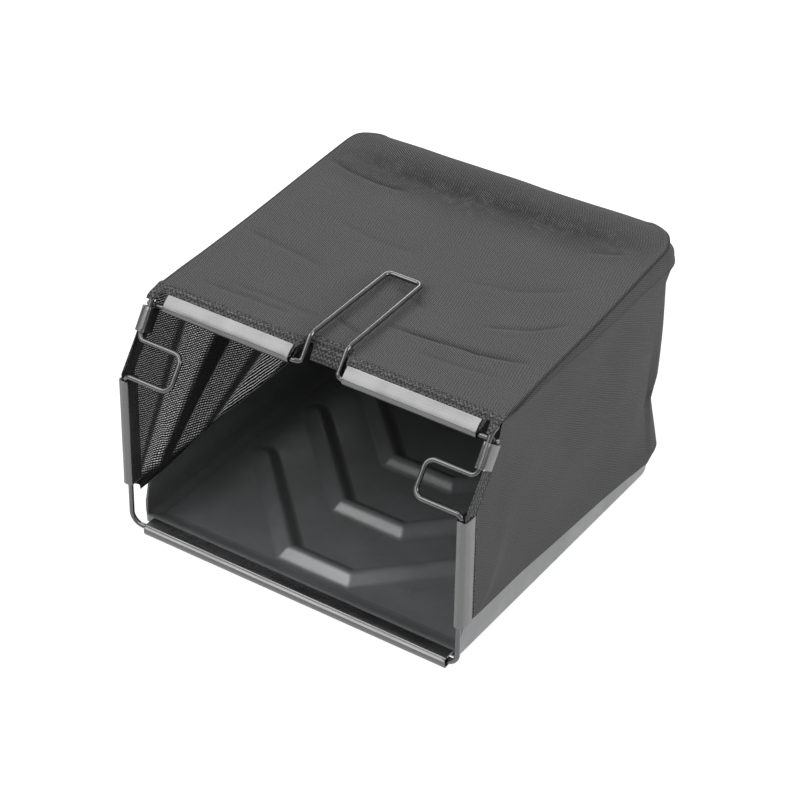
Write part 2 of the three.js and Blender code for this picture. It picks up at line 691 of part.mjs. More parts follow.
// Tape on the outside of the wall along its front edge, partly inside the side and upper channels.
function frontHem() {
  const edge = [
    new THREE.Vector2(knee_y - 0.5, side_channel_z0 + 0.5),
    new THREE.Vector2(knee.x - 0.5, knee.y),
    new THREE.Vector2(loop_top.x - 0.5, loop_top.y),
    new THREE.Vector2(cut_y - 0.5, cut_from.z),
  ];
  const stations = [[edge[0], V(0, 1, 0)]];
  for (let k = 1; k < 3; k++) {
    const d0 = edge[k].clone().sub(edge[k - 1]).normalize();
    const d1 = edge[k + 1].clone().sub(edge[k]).normalize();
    const mean = d0.clone().add(d1).normalize();
    const grow = 1 / mean.dot(d1);
    stations.push([edge[k], V(0, mean.y * grow, -mean.x * grow)]);
  }
  const last = edge[3].clone().sub(edge[2]).normalize();
  stations.push([edge[3], V(0, last.y, -last.x)]);
  const columns = [];
  for (let s = 0; s < stations.length - 1; s++) {
    for (let k = s ? 1 : 0; k <= 4; k++) {
      const p = stations[s][0].clone().lerp(stations[s + 1][0], k / 4);
      const inward = stations[s][1].clone().lerp(stations[s + 1][1], k / 4);
      columns.push([0, 0.33, 0.66, 1].map((t) => {
        const y = p.x + inward.y * hem_width * t;
        const z = p.y + inward.z * hem_width * t;
        return V(wallTopX(y), y, z);
      }));
    }
  }
  const normals = columns.map((c) => c.map(() => V(1, 0, 0)));
  return layer(moved(columns, normals, gap + cloth / 2), moved(columns, normals, gap + 1.5 * cloth));
}
addPair("front_hem", "tape", frontHem());

// Roof: a flap that lies on the top rod inside the channels, a fold behind them, then the sagging top.
// Between the two channels the flap hangs back behind the loop of the rod.
const gap_profile = [[0.5, 10, -1], [6, 14, 4], [13, 18.5, 9], [17, 22.5, 12.2], [24, 28.5, 14]];
function gapAt(u) {
  let k = 0;
  while (k < gap_profile.length - 2 && u > gap_profile[k + 1][0]) k++;
  const [u0, y0, z0] = gap_profile[k];
  const [u1, y1, z1] = gap_profile[k + 1];
  const t = (u - u0) / (u1 - u0);
  return new THREE.Vector2(rod.x + lerp(y0, y1, t), rod.y + lerp(z0, z1, t));
}
const roof_edge_y = [0, 11.25, 22.5, 33.75, 45, 56.25, 67.5, 78.75, 90];
function roofRows(x) {
  const ax = Math.abs(x);
  const middle = smooth((top_channel_inner_x - 1 - ax) / 8);
  const outer = smooth((ax - (top_channel_inner_x + top_channel_length + 1)) / 3);
  const notch = Math.min(smooth((ax - notch_from) / 1.5), smooth((top_channel_inner_x - 0.5 - ax) / 1.4));
  const cut = Math.max(outer, notch);
  const u = [0.5, 6, 13, roof_bend, roof_bend + 7];
  const rows = u.map((v, j) => {
    const cut_u = corner_cut + (j * (roof_bend - corner_cut)) / 3;
    const s = j < 3 ? lerp(v, cut_u, cut) : v;
    let p = s <= roof_bend ? flapAt(s) : new THREE.Vector2(fold.x + s - roof_bend, roofZ(fold.x + s - roof_bend));
    p = p.lerp(gapAt(s), middle);
    return V(x, p.x, p.y);
  });
  return rows;
}
const notch_from = grip_half_width - wire_dia;
const roof_xs = [
  0, notch_from * 0.6, notch_from, notch_from + 1.5, grip_half_width - 1, grip_half_width + 1.5,
  top_channel_inner_x - 4, top_channel_inner_x - 1.9, top_channel_inner_x - 0.5, top_channel_inner_x + 1.5,
  ...[0.25, 0.45, 0.65, 0.85].map((t) => top_channel_inner_x + t * top_channel_length),
  top_channel_inner_x + top_channel_length + 1, top_channel_inner_x + top_channel_length + 4,
];
const edge_scale = (y) => wallTopX(y) + cloth / 2;
function roofColumn(t, x_front) {
  const rows = roofRows(x_front);
  const centre_y = rail_rear_y - rail_bend_r;
  const ys = [0.09, 0.14, 0.21, 0.3, 0.39, 0.49, 0.59, 0.69, 0.79, 0.9].map((t) => lerp(fold.x, centre_y, t));
  const tail = [];
  ys.filter((y) => y > fold.x + 14 && y < centre_y - 8).forEach((y) => {
    const x = lerp(x_front, t * edge_scale(y), smooth((y - fold.x - 7) / 60));
    tail.push([x, y]);
  });
  roof_edge_y.forEach((a) => {
    const r = THREE.MathUtils.degToRad(a);
    const y = centre_y + (top_corner_r + cloth / 2) * Math.sin(r);
    const w = rail_half_rear - rail_bend_r + (top_corner_r + cloth / 2) * Math.cos(r);
    tail.push([t * w, y]);
  });
  tail.forEach(([x, y]) => {
    const s = clamp((y - fold.x - 4) / (roof_end_y - fold.x - 4), 0, 1);
    const across = 1 - Math.pow(Math.min(Math.abs(t), 1), 2);
    rows.push(V(x, y, roofZ(y) - roof_sag * across * Math.pow(Math.sin(Math.PI * s), 0.8)));
  });
  return rows;
}
const roof_front_half = edge_scale(fold.x);
const roof_ts = [...roof_xs.map((x) => [x / roof_front_half, x]), [1, roof_front_half]];
const roof_columns = [
  ...roof_ts.slice(1).reverse().map(([t, x]) => roofColumn(-t, -x)),
  ...roof_ts.map(([t, x]) => roofColumn(t, x)),
];
const roof_normals = gridNormals(roof_columns);
if (roof_normals[0][8].z < 0) roof_normals.forEach((c) => c.forEach((n) => n.negate()));
add("roof_panel", "mesh", layer(moved(roof_columns, roof_normals, -cloth / 2), moved(roof_columns, roof_normals, cloth / 2)));

// Tape along the front edge of the roof, on top of it.
const hem_rows = roof_columns.map((c) => c.slice(0, 5));
const hem_normals = roof_normals.map((c) => c.slice(0, 5));
add("roof_hem", "tape", layer(
  moved(hem_rows, hem_normals, gap + cloth / 2),
  moved(hem_rows, hem_normals, gap + 1.5 * cloth),
));

// The whole part stands on z = 0 with its bounding box centred on the middle plane.
bag.updateMatrixWorld(true);
const box = new THREE.Box3().setFromObject(bag);
bag.position.set(0, -(box.min.y + box.max.y) / 2, -box.min.z);

export default group;
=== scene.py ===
# Scarifier collection bag: a black mesh hood on a bent wire frame, clipped over a moulded tray.
# Lengths are millimetres from the plane of the bottom wire (y) and the underside of the tray (z).
import json
import math
import bpy
import bmesh
import numpy as np
from mathutils import Matrix, Vector

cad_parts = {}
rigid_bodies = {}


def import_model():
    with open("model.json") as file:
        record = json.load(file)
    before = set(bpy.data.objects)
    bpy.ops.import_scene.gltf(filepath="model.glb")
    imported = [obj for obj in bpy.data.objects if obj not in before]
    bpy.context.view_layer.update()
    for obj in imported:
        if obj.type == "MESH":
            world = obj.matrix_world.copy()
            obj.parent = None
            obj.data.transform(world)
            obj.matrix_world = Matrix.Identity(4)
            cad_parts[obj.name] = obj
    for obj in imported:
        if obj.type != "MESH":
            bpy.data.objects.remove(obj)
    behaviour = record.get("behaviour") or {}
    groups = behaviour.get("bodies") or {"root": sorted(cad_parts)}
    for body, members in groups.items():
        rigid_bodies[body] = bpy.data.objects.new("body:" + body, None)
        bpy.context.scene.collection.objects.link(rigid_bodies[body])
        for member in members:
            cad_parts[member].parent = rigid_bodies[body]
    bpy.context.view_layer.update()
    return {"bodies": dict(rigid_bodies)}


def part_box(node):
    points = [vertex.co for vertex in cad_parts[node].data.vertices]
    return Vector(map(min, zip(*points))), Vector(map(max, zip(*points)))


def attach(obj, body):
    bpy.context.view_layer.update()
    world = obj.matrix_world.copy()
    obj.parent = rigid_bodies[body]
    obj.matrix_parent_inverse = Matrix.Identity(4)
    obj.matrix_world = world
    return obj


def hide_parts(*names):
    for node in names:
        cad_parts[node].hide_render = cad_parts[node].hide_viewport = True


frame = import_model()
BODY = list(frame["bodies"])[0]
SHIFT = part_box("frame_wire")[0][1] * 1000 + 2.5

# Sizes shared with the solids
HALF = 185.0
WIRE_R = 2.5
KNEE = (2.5, 173.85)
LOOP_TOP = (24.5, 202.35)
CORNER = (47.07, 235.6)
RAIL_REAR = (368.07, 258.0)
RAIL_HALF_REAR = 175.0
RAIL_BEND = 20.0
ROD = (48.22, 227.85)
TILT = math.radians(42)
CLOTH = 0.8
GAP = 0.3
SKIN = 3.2
SEAM_SKIN = 4.3
CORNER_R = RAIL_BEND + SEAM_SKIN
WALL_OUT = 2 * GAP + 1.5 * CLOTH
CENTRE_Y = RAIL_REAR[0] - RAIL_BEND
TRAY_HALF = 178.0
TRAY_Y0 = 18.0
TRAY_Y1 = 370.0
TRAY_FRONT = 11.2
TRAY_R = 28.0
RIB_FRONT = 37.0
RIB_PITCH = 87.0
RIB_HALF = 12.5
RIB_FLAT = 40.0
RIB_TOP = 8.7
RIB_FOOT = 2.45
TAPE_WIDTH = 13.5
SEAM_WIDTH = 9.0
HEM_WIDTH = 18.0
DRAFT = math.tan(math.radians(3))
CREASE_Z = 240.5
# How far a wall bulges out (+) or hollows in (-) at each height
SAG_Z = [16, 30, 55, 93, 118, 172, 220, 241, 250, 257, 262]
SAG = [0.5, 6.5, 1.0, -8, -3, -1.5, -1.0, 5.5, 6.5, 3.0, 0.3]


def lerp(a, b, t):
    return a + (b - a) * t


def smooth(v):
    v = np.clip(v, 0, 1)
    return v * v * (3 - 2 * v)


def bell(v, width):
    return np.exp(-((v / width) ** 2))


# Mesh building

def to_m(points):
    p = np.array(points, float).reshape(-1, 3)
    p[:, 1] += SHIFT
    return p / 1000


def piece(name, points, faces, material, nodes=(), sharp=40.0, uv=None, attrs=None):
    me = bpy.data.meshes.new(name)
    me.from_pydata(to_m(points).tolist(), [], [list(f) for f in faces])
    me.polygons.foreach_set("use_smooth", [True] * len(me.polygons))
    if sharp:
        me.set_sharp_from_angle(angle=math.radians(sharp))
    if uv is not None:
        layer = me.uv_layers.new(name="UVMap")
        index = np.zeros(len(me.loops), int)
        me.loops.foreach_get("vertex_index", index)
        layer.data.foreach_set("uv", (np.array(uv, float).reshape(-1, 2)[index] / 1000).ravel())
    for key, values in (attrs or {}).items():
        a = me.attributes.new(key, "FLOAT", "POINT")
        a.data.foreach_set("value", np.array(values, float).ravel())
    me.update()
    ob = bpy.data.objects.new(name, me)
    bpy.context.scene.collection.objects.link(ob)
    me.materials.append(material)
    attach(ob, BODY)
    if nodes:
        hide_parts(*nodes)
    return ob


def grid_faces(nu, nv, closed=False):
    out = []
    for i in range(nu if closed else nu - 1):
        k = (i + 1) % nu
        for j in range(nv - 1):
            out.append((i * nv + j, k * nv + j, k * nv + j + 1, i * nv + j + 1))
    return out


def normals(grid, outward):
    du = np.gradient(grid, axis=0)
    dv = np.gradient(grid, axis=1)
    n = np.cross(du, dv)
    n /= np.maximum(np.linalg.norm(n, axis=2, keepdims=True), 1e-9)
    if (n * outward).sum() < 0:
        n = -n
    return n


def lengths(grid):
    """Distance along the fabric in both directions, in millimetres."""
    u = np.zeros(grid.shape[:2])
    v = np.zeros(grid.shape[:2])
    u[1:] = np.cumsum(np.linalg.norm(np.diff(grid, axis=0), axis=2), axis=0)
    v[:, 1:] = np.cumsum(np.linalg.norm(np.diff(grid, axis=1), axis=2), axis=1)
    u[:] = u.mean(axis=1, keepdims=True)
    return np.stack([u, v], axis=2)


def cloth(name, grid, material, nodes=(), uv=None, attrs=None, thick=0.0):
    nu, nv = grid.shape[:2]
    ob = piece(name, grid, grid_faces(nu, nv), material, nodes, 50,
               lengths(grid) if uv is None else uv, attrs)
    if thick:
        m = ob.modifiers.new("thickness", "SOLIDIFY")
        m.thickness = thick / 1000
        m.offset = 0
    return ob


# Wires

def bent(entries):
    out = []
    pts = [Vector(p) for p, _ in entries]
    for i, (p, radius) in enumerate(entries):
        p = Vector(p)
        if not radius or i in (0, len(entries) - 1):
            out.append(p)
            continue
        back = (pts[i - 1] - p).normalized()
        ahead = (pts[i + 1] - p).normalized()
        turn = math.pi - back.angle(ahead)
        inward = (back + ahead).normalized()
        centre = p + inward * (radius / math.cos(turn / 2))
        start = p + back * (radius * math.tan(turn / 2)) - centre
        axis = start.cross(p + ahead * (radius * math.tan(turn / 2)) - centre).normalized()
        steps = max(4, int(turn / math.radians(6)))
        for s in range(steps + 1):
            out.append(Matrix.Rotation(turn * s / steps, 3, axis) @ start + centre)
    return out


def bar(path, radius, sides=20, round_ends=0.6):
    """Round bar along a path with slightly rounded cut ends."""
    ring = []
    tangents = [(path[min(i + 1, len(path) - 1)] - path[max(i - 1, 0)]).normalized() for i in range(len(path))]
    normal = Vector((0.3, 0.5, 0.8)).cross(tangents[0]).normalized()
    frames = []
    for p, t in zip(path, tangents):
        normal = (normal - t * normal.dot(t)).normalized()
        frames.append((p, normal.copy(), t.cross(normal), t))
    first, last = frames[0], frames[-1]
    stations = [(first[0], first[1], first[2], radius - round_ends)]
    stations.append((first[0] + first[3] * round_ends, first[1], first[2], radius))
    stations += [(p, n, b, radius) for p, n, b, _ in frames[1:-1]]
    stations.append((last[0] - last[3] * round_ends, last[1], last[2], radius))
    stations.append((last[0], last[1], last[2], radius - round_ends))
    for p, n, b, r in stations:
        for s in range(sides):
            a = 2 * math.pi * s / sides
            ring.append(p + n * (r * math.cos(a)) + b * (r * math.sin(a)))
    faces = []
    for i in range(len(stations) - 1):
        for s in range(sides):
            m = (s + 1) % sides
            faces.append((i * sides + s, i * sides + m, (i + 1) * sides + m, (i + 1) * sides + s))
    faces.append(tuple(range(sides - 1, -1, -1)))
    faces.append(tuple((len(stations) - 1) * sides + s for s in range(sides)))
    return [tuple(p) for p in ring], faces


def frame_entries():
    x0 = HALF - 50.5
    rail_y = CORNER[0] + 300
    rail_z = CORNER[1] + 22.4 * 300 / 321
    right = [((HALF, 0, 5.8), 12), ((HALF, *KNEE), 6), ((x0, *KNEE), 9), ((x0, *LOOP_TOP), 9),
             ((HALF, *LOOP_TOP), 6), ((HALF, *CORNER), 7), ((RAIL_HALF_REAR, rail_y, rail_z), 0.1),
             ((RAIL_HALF_REAR, *RAIL_REAR), RAIL_BEND)]
    left = [((-p[0], p[1], p[2]), r) for p, r in reversed(right)]
    return [((0.25, 0, 5.8), 0)] + right + left + [((-0.25, 0, 5.8), 0)]


def rod_entries():
    g = 20.0
    half = [((HALF + WIRE_R + 4, *ROD), 0), ((g + 6, *ROD), 8), ((g, ROD[0] + 3, ROD[1] - 1), 3.5),
            ((g, 67, 248.2), 7), ((g - 1, 188, 249.6), 6)]
    return half + [((-p[0], p[1], p[2]), r) for p, r in reversed(half)]


# Channels

def channel_profile(groove):
    """Section of the clips: (across, towards the open side), with a fine groove at one corner if asked."""
    a0, a1, w, tip, r, ri = -2.8, 5.1, 1.3, 12.3, 3.0, 2.0
    back = -2.8
    o0, o1, c = a0 - w, a1 + w, back - w
    pts = []

    def arc(cx, cy, rad, f, t, n):
        for k in range(n + 1):
            a = math.radians(lerp(f, t, k / n))
            pts.append((cx + rad * math.cos(a), cy + rad * math.sin(a)))

    def run(x0, y0, x1, y1, n, nx, ny, depth=0.025):
        for k in range(1, n):
            t = k / n
            d = -depth * (1 - math.cos(2 * math.pi * 3 * t))
            pts.append((lerp(x0, x1, t) + nx * d, lerp(y0, y1, t) + ny * d))

    arc((o0 + a0) / 2, tip - w / 2, w / 2, 0, 180, 6)
    run(o0, tip - w / 2, o0, c + r, 12, -1, 0)
    arc(o0 + r, c + r, r, 180, 270, 9)
    first = len(pts)
    cut = 3.8 if groove else 3.0
    run(o0 + r, c, o1 - cut, c, 10, 0, -1)
    for k in range(first, len(pts)):
        t = (pts[k][0] - o0 - r) / (o1 - cut - o0 - r)
        pts[k] = (pts[k][0], pts[k][1] - 0.45 * math.sin(math.pi * t))
    if not groove:
        arc(o1 - 3.2, c + 3.2, 3.2, 270, 360, 10)
    else:
        notch = ((3.75, 0), (3.3, 0.06), (2.95, 0.36), (2.45, 0.86), (2.25, 1.2), (1.75, 1.75),
                 (1.2, 2.25), (0.86, 2.45), (0.36, 2.95), (0.06, 3.3), (0, 3.75))
        pts += [(o1 - dx, c + dy) for dx, dy in notch]
    for k in range(1, 14):
        t = k / 14
        pts.append((o1 + 0.7 * 4 * t * (1 - t) * (1 - 0.5 * t), lerp(c + cut, tip - w / 2, t)))
    pts += [(o1, tip - 0.2), (o1 - 0.2, tip), (a1 + 0.3, tip), (a1, tip - 0.3)]
    arc(a1 - ri, back + ri, ri, 0, -90, 5)
    arc(a0 + ri, back + ri, ri, 270, 180, 5)
    return pts


def channel(name, start, run, opening, length, sign=1, groove=False):
    """A clip of U section with rounded lips, along `run` from `start`; sign -1 mirrors it."""
    run, opening = Vector(run).normalized(), Vector(opening).normalized()
    across = opening.cross(run)
    prof = channel_profile(groove)
    n = len(prof)
    cuts = [0.0, 0.35] + list(np.linspace(4, length - 4, 24)) + [length - 0.35, length]
    pts, uv = [], []
    cx = sum(p[0] for p in prof) / n
    around = np.cumsum([0] + [math.dist(prof[k], prof[k - 1]) for k in range(1, n)])
    for k, t in enumerate(cuts):
        inset = 0.3 if k in (0, len(cuts) - 1) else 0
        for (px, py), v in zip(prof, around):
            mid = -2.8 - 0.65 if py < -2.8 else (-3.45 if px < cx else 5.75)
            if inset and py > -0.5:
                px = lerp(px, mid, 0.45)
            elif inset:
                py = lerp(py, -3.45, 0.45)
            wave = 0.06 * math.sin(t * 0.11 + v * 0.3)
            q = Vector(start) + across * (px + wave) + opening * py + run * t
            pts.append((sign * q.x, q.y, q.z))
            uv.append((t, v))
    faces = []
    for i in range(len(cuts) - 1):
        for k in range(n):
            m = (k + 1) % n
            faces.append((i * n + k, i * n + m, (i + 1) * n + m, (i + 1) * n + k))
    faces.append(tuple(range(n - 1, -1, -1)))
    faces.append(tuple((len(cuts) - 1) * n + k for k in range(n)))
    if sign < 0:
        faces = [tuple(reversed(f)) for f in faces]
    piece(name, pts, faces, M["channel"], [name[:-5]], 40, uv)


# Hood: the roof's outline, shared by the roof and the walls

def rail_x(y):
    return HALF - 10 * np.clip((y - CORNER[0]) / 300, 0, 1)


def top_x(y):
    return rail_x(y) + SKIN + (SEAM_SKIN - SKIN) * smooth((y - CORNER[0]) / 28)


def ease_x(side, y):
    """How far the sewn fabric stands off the rail: a little out at the right rear, a little in at the left."""
    if side > 0:
        return 4.0 * smooth((y - 90) / 180)
    return -1.6 * bell(y - 190, 90)


def ease_y(t):
    return 4.5 + 4.0 * np.clip(t, -1, 1)


FLAP = np.array([math.cos(TILT), math.sin(TILT)])
FLAP_UP = np.array([-math.sin(TILT), math.cos(TILT)])
FOLD = np.array(ROD) + FLAP * 17 + FLAP_UP * SKIN
END_Y = RAIL_REAR[0] + SEAM_SKIN
END_Z = RAIL_REAR[1] + 4.5


def roof_z(y):
    return lerp(FOLD[1], END_Z, (y - FOLD[0]) / (END_Y - FOLD[0]))


CREASES = [
    ([(14, 126), (53, 128), (115, 132), (171, 143)], -2.6, 3.2, 1.2),
    ([(-30, 112), (-13, 107), (14, 99)], -1.6, 3.5, 0.6),
    ([(92, 167), (139, 187), (167, 211)], -1.6, 3.2, 0.9),
    ([(-175, 316), (-144, 310), (-111, 308), (-74, 311)], -2.6, 4.0, 1.4),
    ([(119, 315), (154, 329)], -1.6, 3.5, 0.8),
    ([(-180, 177), (-122, 175), (-71, 169)], -1.0, 6.0, 0.5),
    ([(-160, 88), (-105, 91), (-50, 93)], -1.1, 3.5, 0.5),
    ([(-140, 101), (-80, 104), (-30, 101)], -0.9, 4.5, 0.4),
    ([(-7, 182), (42, 166)], -1.2, 8.0, 0.2),
    ([(60, 106), (110, 108), (160, 113)], -0.9, 5.0, 0.5),
    ([(40, 220), (95, 232), (150, 262)], -0.8, 7.0, 0.4),
    ([(-120, 240), (-60, 232), (-10, 236)], -0.7, 8.0, 0.4),
]


def crease(x, y, line, depth, width, ridge):
    """A fold along a line of points, fading out at both ends, with a low ridge in front of it."""
    best = np.full(x.shape, 1e9)
    signed = np.zeros(x.shape)
    along = np.zeros(x.shape)
    total = sum(math.dist(line[k], line[k + 1]) for k in range(len(line) - 1))
    done = 0.0
    for (xa, ya), (xb, yb) in zip(line, line[1:]):
        seg = math.hypot(xb - xa, yb - ya)
        ux, uy = (xb - xa) / seg, (yb - ya) / seg
        s = np.clip((x - xa) * ux + (y - ya) * uy, 0, seg)
        dx, dy = x - xa - ux * s, y - ya - uy * s
        d = np.hypot(dx, dy)
        near = d < best
        best = np.where(near, d, best)
        signed = np.where(near, (x - xa) * -uy + (y - ya) * ux, signed)
        along = np.where(near, (done + s) / total, along)
        done += seg
    fade = smooth(along / 0.22) * smooth((1 - along) / 0.22) * 0.92 + 0.08 * bell(best, width)
    low_ridge = ridge * bell(signed + 2.4 * width, 1.6 * width) * bell(best, 5 * width)
    return fade * (depth * bell(best, width) + low_ridge)


def roof_shape(x, y, t):
    """Height of the fabric: a slack plane with a trough in front of the rear rail and a few creases."""
    s = np.clip((y - FOLD[0] - 4) / (END_Y - FOLD[0] - 4), 0, 1)
    across = 1 - np.minimum(np.abs(t), 1) ** 2.2
    z = roof_z(y) - 6.5 * across * np.sin(math.pi * s) ** 0.8
    rear = END_Y + ease_y(t)
    z = z - 5.0 * bell(y - (rear - 38), 15) * (1 - np.abs(t) ** 6)
    z = z + 1.6 * bell(y - (rear - 9), 7)
    for line, depth, width, ridge in CREASES:
        z = z + crease(x, y, line, depth, width, ridge) * smooth((y - FOLD[0] - 5) / 12)
    slack = 0.35 * np.sin(x * 0.052 + y * 0.021) + 0.3 * np.sin(x * 0.027 - y * 0.061 + 1.3)
    slack = slack + 0.2 * np.sin(x * 0.11 + 0.8) * np.sin(y * 0.09)
    z = z + slack * smooth((y - FOLD[0] - 6) / 30) * across ** 0.5
    # The seam draws the fabric down at the edge
    z = z + (0.9 * bell(np.abs(t) - 0.965, 0.018) - 0.9 * bell(np.abs(t) - 1, 0.008)) * smooth((y - FOLD[0]) / 30)
    return z


TOP_INNER = 29.5
TOP_LENGTH = 141.5
CORNER_PROFILE = [(0.5, 43.3, 235.9), (4, 44.7, 238.1), (8, 47.8, 239.5), (13, 53.6, 240.6), (17, 58.7, 241.6)]
GAP_PROFILE = [(0.5, 10, -1), (6, 14, 4), (13, 18.5, 9), (17, 22.5, 12.2), (24, 28.5, 14)]


def flap_row(v, ax):
    """(y, z) of the roof's front flap at distance v behind the rod, for a column at |x| = ax."""
    notch_from = 15.0
    middle = smooth((TOP_INNER - 1 - ax) / 8)
    outer = smooth((ax - (TOP_INNER + TOP_LENGTH + 1)) / 3)
    notch = min(smooth((ax - notch_from) / 1.5), smooth((TOP_INNER - 0.5 - ax) / 1.4))
    s = lerp(v, 14 + 3 * (v - 0.5) / 16.5, max(outer, notch)) if v < 17 else v
    p = np.array(ROD) + FLAP * s + FLAP_UP * SKIN
    if s > 13:
        w = (s - 13) / 11
        flat = np.array([FOLD[0] + (s - 17), roof_z(FOLD[0] + (s - 17))])
        p = p * (1 - smooth(w)) + flat * smooth(w)
    if v < 17:
        over = [np.interp(v, [q[0] for q in CORNER_PROFILE], [q[k] for q in CORNER_PROFILE]) for k in (1, 2)]
        p = lerp(p, np.array(over), smooth((ax - 179) / 4))
    g = [np.interp(s, [q[0] for q in GAP_PROFILE], [q[k] for q in GAP_PROFILE]) for k in (1, 2)]
    return lerp(p, np.array(ROD) + np.array(g), middle)


def roof_grid():
    front_half = float(top_x(FOLD[0])) + CLOTH / 2
    xs = list(np.linspace(0, 12, 7)) + list(np.linspace(13.5, 32, 15)) + list(np.linspace(36, 168, 42))
    xs += list(np.linspace(169.5, 177, 8)) + list(np.linspace(179, front_half, 6))
    xs = [-x for x in reversed(xs[1:])] + xs
    vs = list(np.linspace(0.5, 24, 15))
    ys = list(np.arange(FOLD[0] + 10, CENTRE_Y - 1, 3.0))
    angles = np.radians(np.linspace(0, 90, 15))
    cols = []
    for xf in xs:
        t = xf / front_half
        side = 1 if t >= 0 else -1
        rows = [(xf, *flap_row(v, abs(xf))) for v in vs]
        for y in ys:
            edge = float(top_x(y)) + CLOTH / 2 + float(ease_x(side, y))
            x = lerp(xf, t * edge, float(smooth((y - FOLD[0] - 7) / 60)))
            rows.append((x, y, None))
        for a in angles:
            ex = float(ease_x(side, CENTRE_Y)) * math.cos(a)
            y = CENTRE_Y + (CORNER_R + CLOTH / 2) * math.sin(a) + float(ease_y(t)) * math.sin(a) ** 2
            w = RAIL_HALF_REAR - RAIL_BEND + (CORNER_R + CLOTH / 2) * math.cos(a) + ex
            rows.append((t * w, y, None))
        cols.append(rows)
    grid = np.zeros((len(cols), len(cols[0]), 3))
    nf = len(vs)
    for i, rows in enumerate(cols):
        t = xs[i] / front_half
        arr = np.array([[r[0], r[1], 0 if r[2] is None else r[2]] for r in rows], float)
        arr[nf:, 2] = roof_shape(arr[nf:, 0], arr[nf:, 1], np.full(len(rows) - nf, t))
        grid[i] = arr
    # Ease the step between the flap and the slack top
    for j in (nf - 2, nf - 1, nf):
        grid[:, j, 2] = 0.25 * grid[:, j - 1, 2] + 0.5 * grid[:, j, 2] + 0.25 * grid[:, j + 1, 2]
    return grid, nf


# Hood: walls

CUT_Y, CUT_Z = 24.5 + 22.57 * (30.4 / 40.19), 202.35 + 33.25 * (30.4 / 40.19)
LEAN_BACK = (33.25 / 40.19, -22.57 / 40.19)
STEP_Y = CUT_Y + LEAN_BACK[0] * 13.3
FULL_Y = max(FOLD[0], STEP_Y + 3)


def rim_side(y):
    return lerp(42.0, 50.0, smooth((y - 35) / 100))


def skirt_z(y):
    return np.interp(y, [18, 29, 43, 111, 181, 255, 332, 361], [38.5, 38, 37, 36.5, 31.5, 27, 19, 16])


def wall_top_z(y):
    if y < LOOP_TOP[0]:
        t = (y - KNEE[0]) / 22
        return lerp(KNEE[1], LOOP_TOP[1], t) - 4 * math.sin(math.pi * min(max(t, 0), 1))
    if y < CUT_Y:
        return lerp(LOOP_TOP[1], CORNER[1], (y - LOOP_TOP[0]) / 22.57)
    notch_z = CUT_Z + LEAN_BACK[1] * 13.3
    if y < STEP_Y:
        return lerp(CUT_Z, notch_z, (y - CUT_Y) / (STEP_Y - CUT_Y))
    if y < FULL_Y:
        return lerp(notch_z, roof_z(FULL_Y) - 0.4, (y - STEP_Y) / (FULL_Y - STEP_Y))
    return None


def column(kind, side, value):
    """Plan of one column of the wall: bottom, top, outward direction and the y that sets its heights."""
    if kind == "side":
        y = value
        top = (float(top_x(y)) + float(ease_x(side, y)) * float(smooth((y - 60) / 40)), y)
        return dict(kind=kind, side=side, y=y, low=(TRAY_HALF + WALL_OUT, y), top=top, out=(1.0, 0.0), a=0.0, t=side)
    if kind == "corner":
        a = math.radians(value)
        c, s = math.cos(a), math.sin(a)
        r0 = TRAY_R + WALL_OUT
        low = (TRAY_HALF - TRAY_R + r0 * c, TRAY_Y1 - TRAY_R + r0 * s)
        ex = float(ease_x(side, CENTRE_Y)) * c
        top = (RAIL_HALF_REAR - RAIL_BEND + CORNER_R * c + ex,
               CENTRE_Y + CORNER_R * s + float(ease_y(side)) * s * s)
        return dict(kind=kind, side=side, y=TRAY_Y1, low=low, top=top, out=(c, s), a=value, t=side)
    t = abs(value)
    low = (t * (TRAY_HALF - TRAY_R), TRAY_Y1 + WALL_OUT)
    top = (t * (RAIL_HALF_REAR - RAIL_BEND), END_Y + float(ease_y(side * t)))
    return dict(kind=kind, side=side, y=TRAY_Y1, low=low, top=top, out=(0.0, 1.0), a=90.0, t=side * t)


def fan(y, z):
    """Folds of the left panel that fan out from the front of its lower edge."""
    angle = np.degrees(np.arctan2(z + 8, y + 15))
    reach = np.hypot(y + 15, z + 8)
    d = np.interp(angle, [0, 12, 20, 25, 35, 40, 45, 57, 62, 74, 90], [0, 0, 1.5, -2.5, 3, -4, 2.5, 4, -2, 1, 0])
    a = smooth(reach / 140) * smooth((330 - y) / 120)
    return d * a * 0.9, angle


def opening_of(y, z):
    """How far the mesh of the left panel lets light through, from fold to fold."""
    _, angle = fan(y, z)
    bands = np.interp(angle, [10, 13, 14, 21, 22.5, 25.5, 27, 35, 37, 43.5, 45.5, 57, 59.5, 62, 64, 84, 88],
                      [0, 0.1, 0.75, 0.75, 0.05, 0.05, 0.45, 0.45, 0.0, 0.0, 0.85, 0.85, 0.1, 0.08, 0.48, 0.42, 0.2])
    stripe = smooth((angle - 13) / 1) * smooth((22 - angle) / 1)
    return bands * smooth((z - 46) / 5) * (0.75 + 0.25 * smooth((150 - z) / 90)), stripe


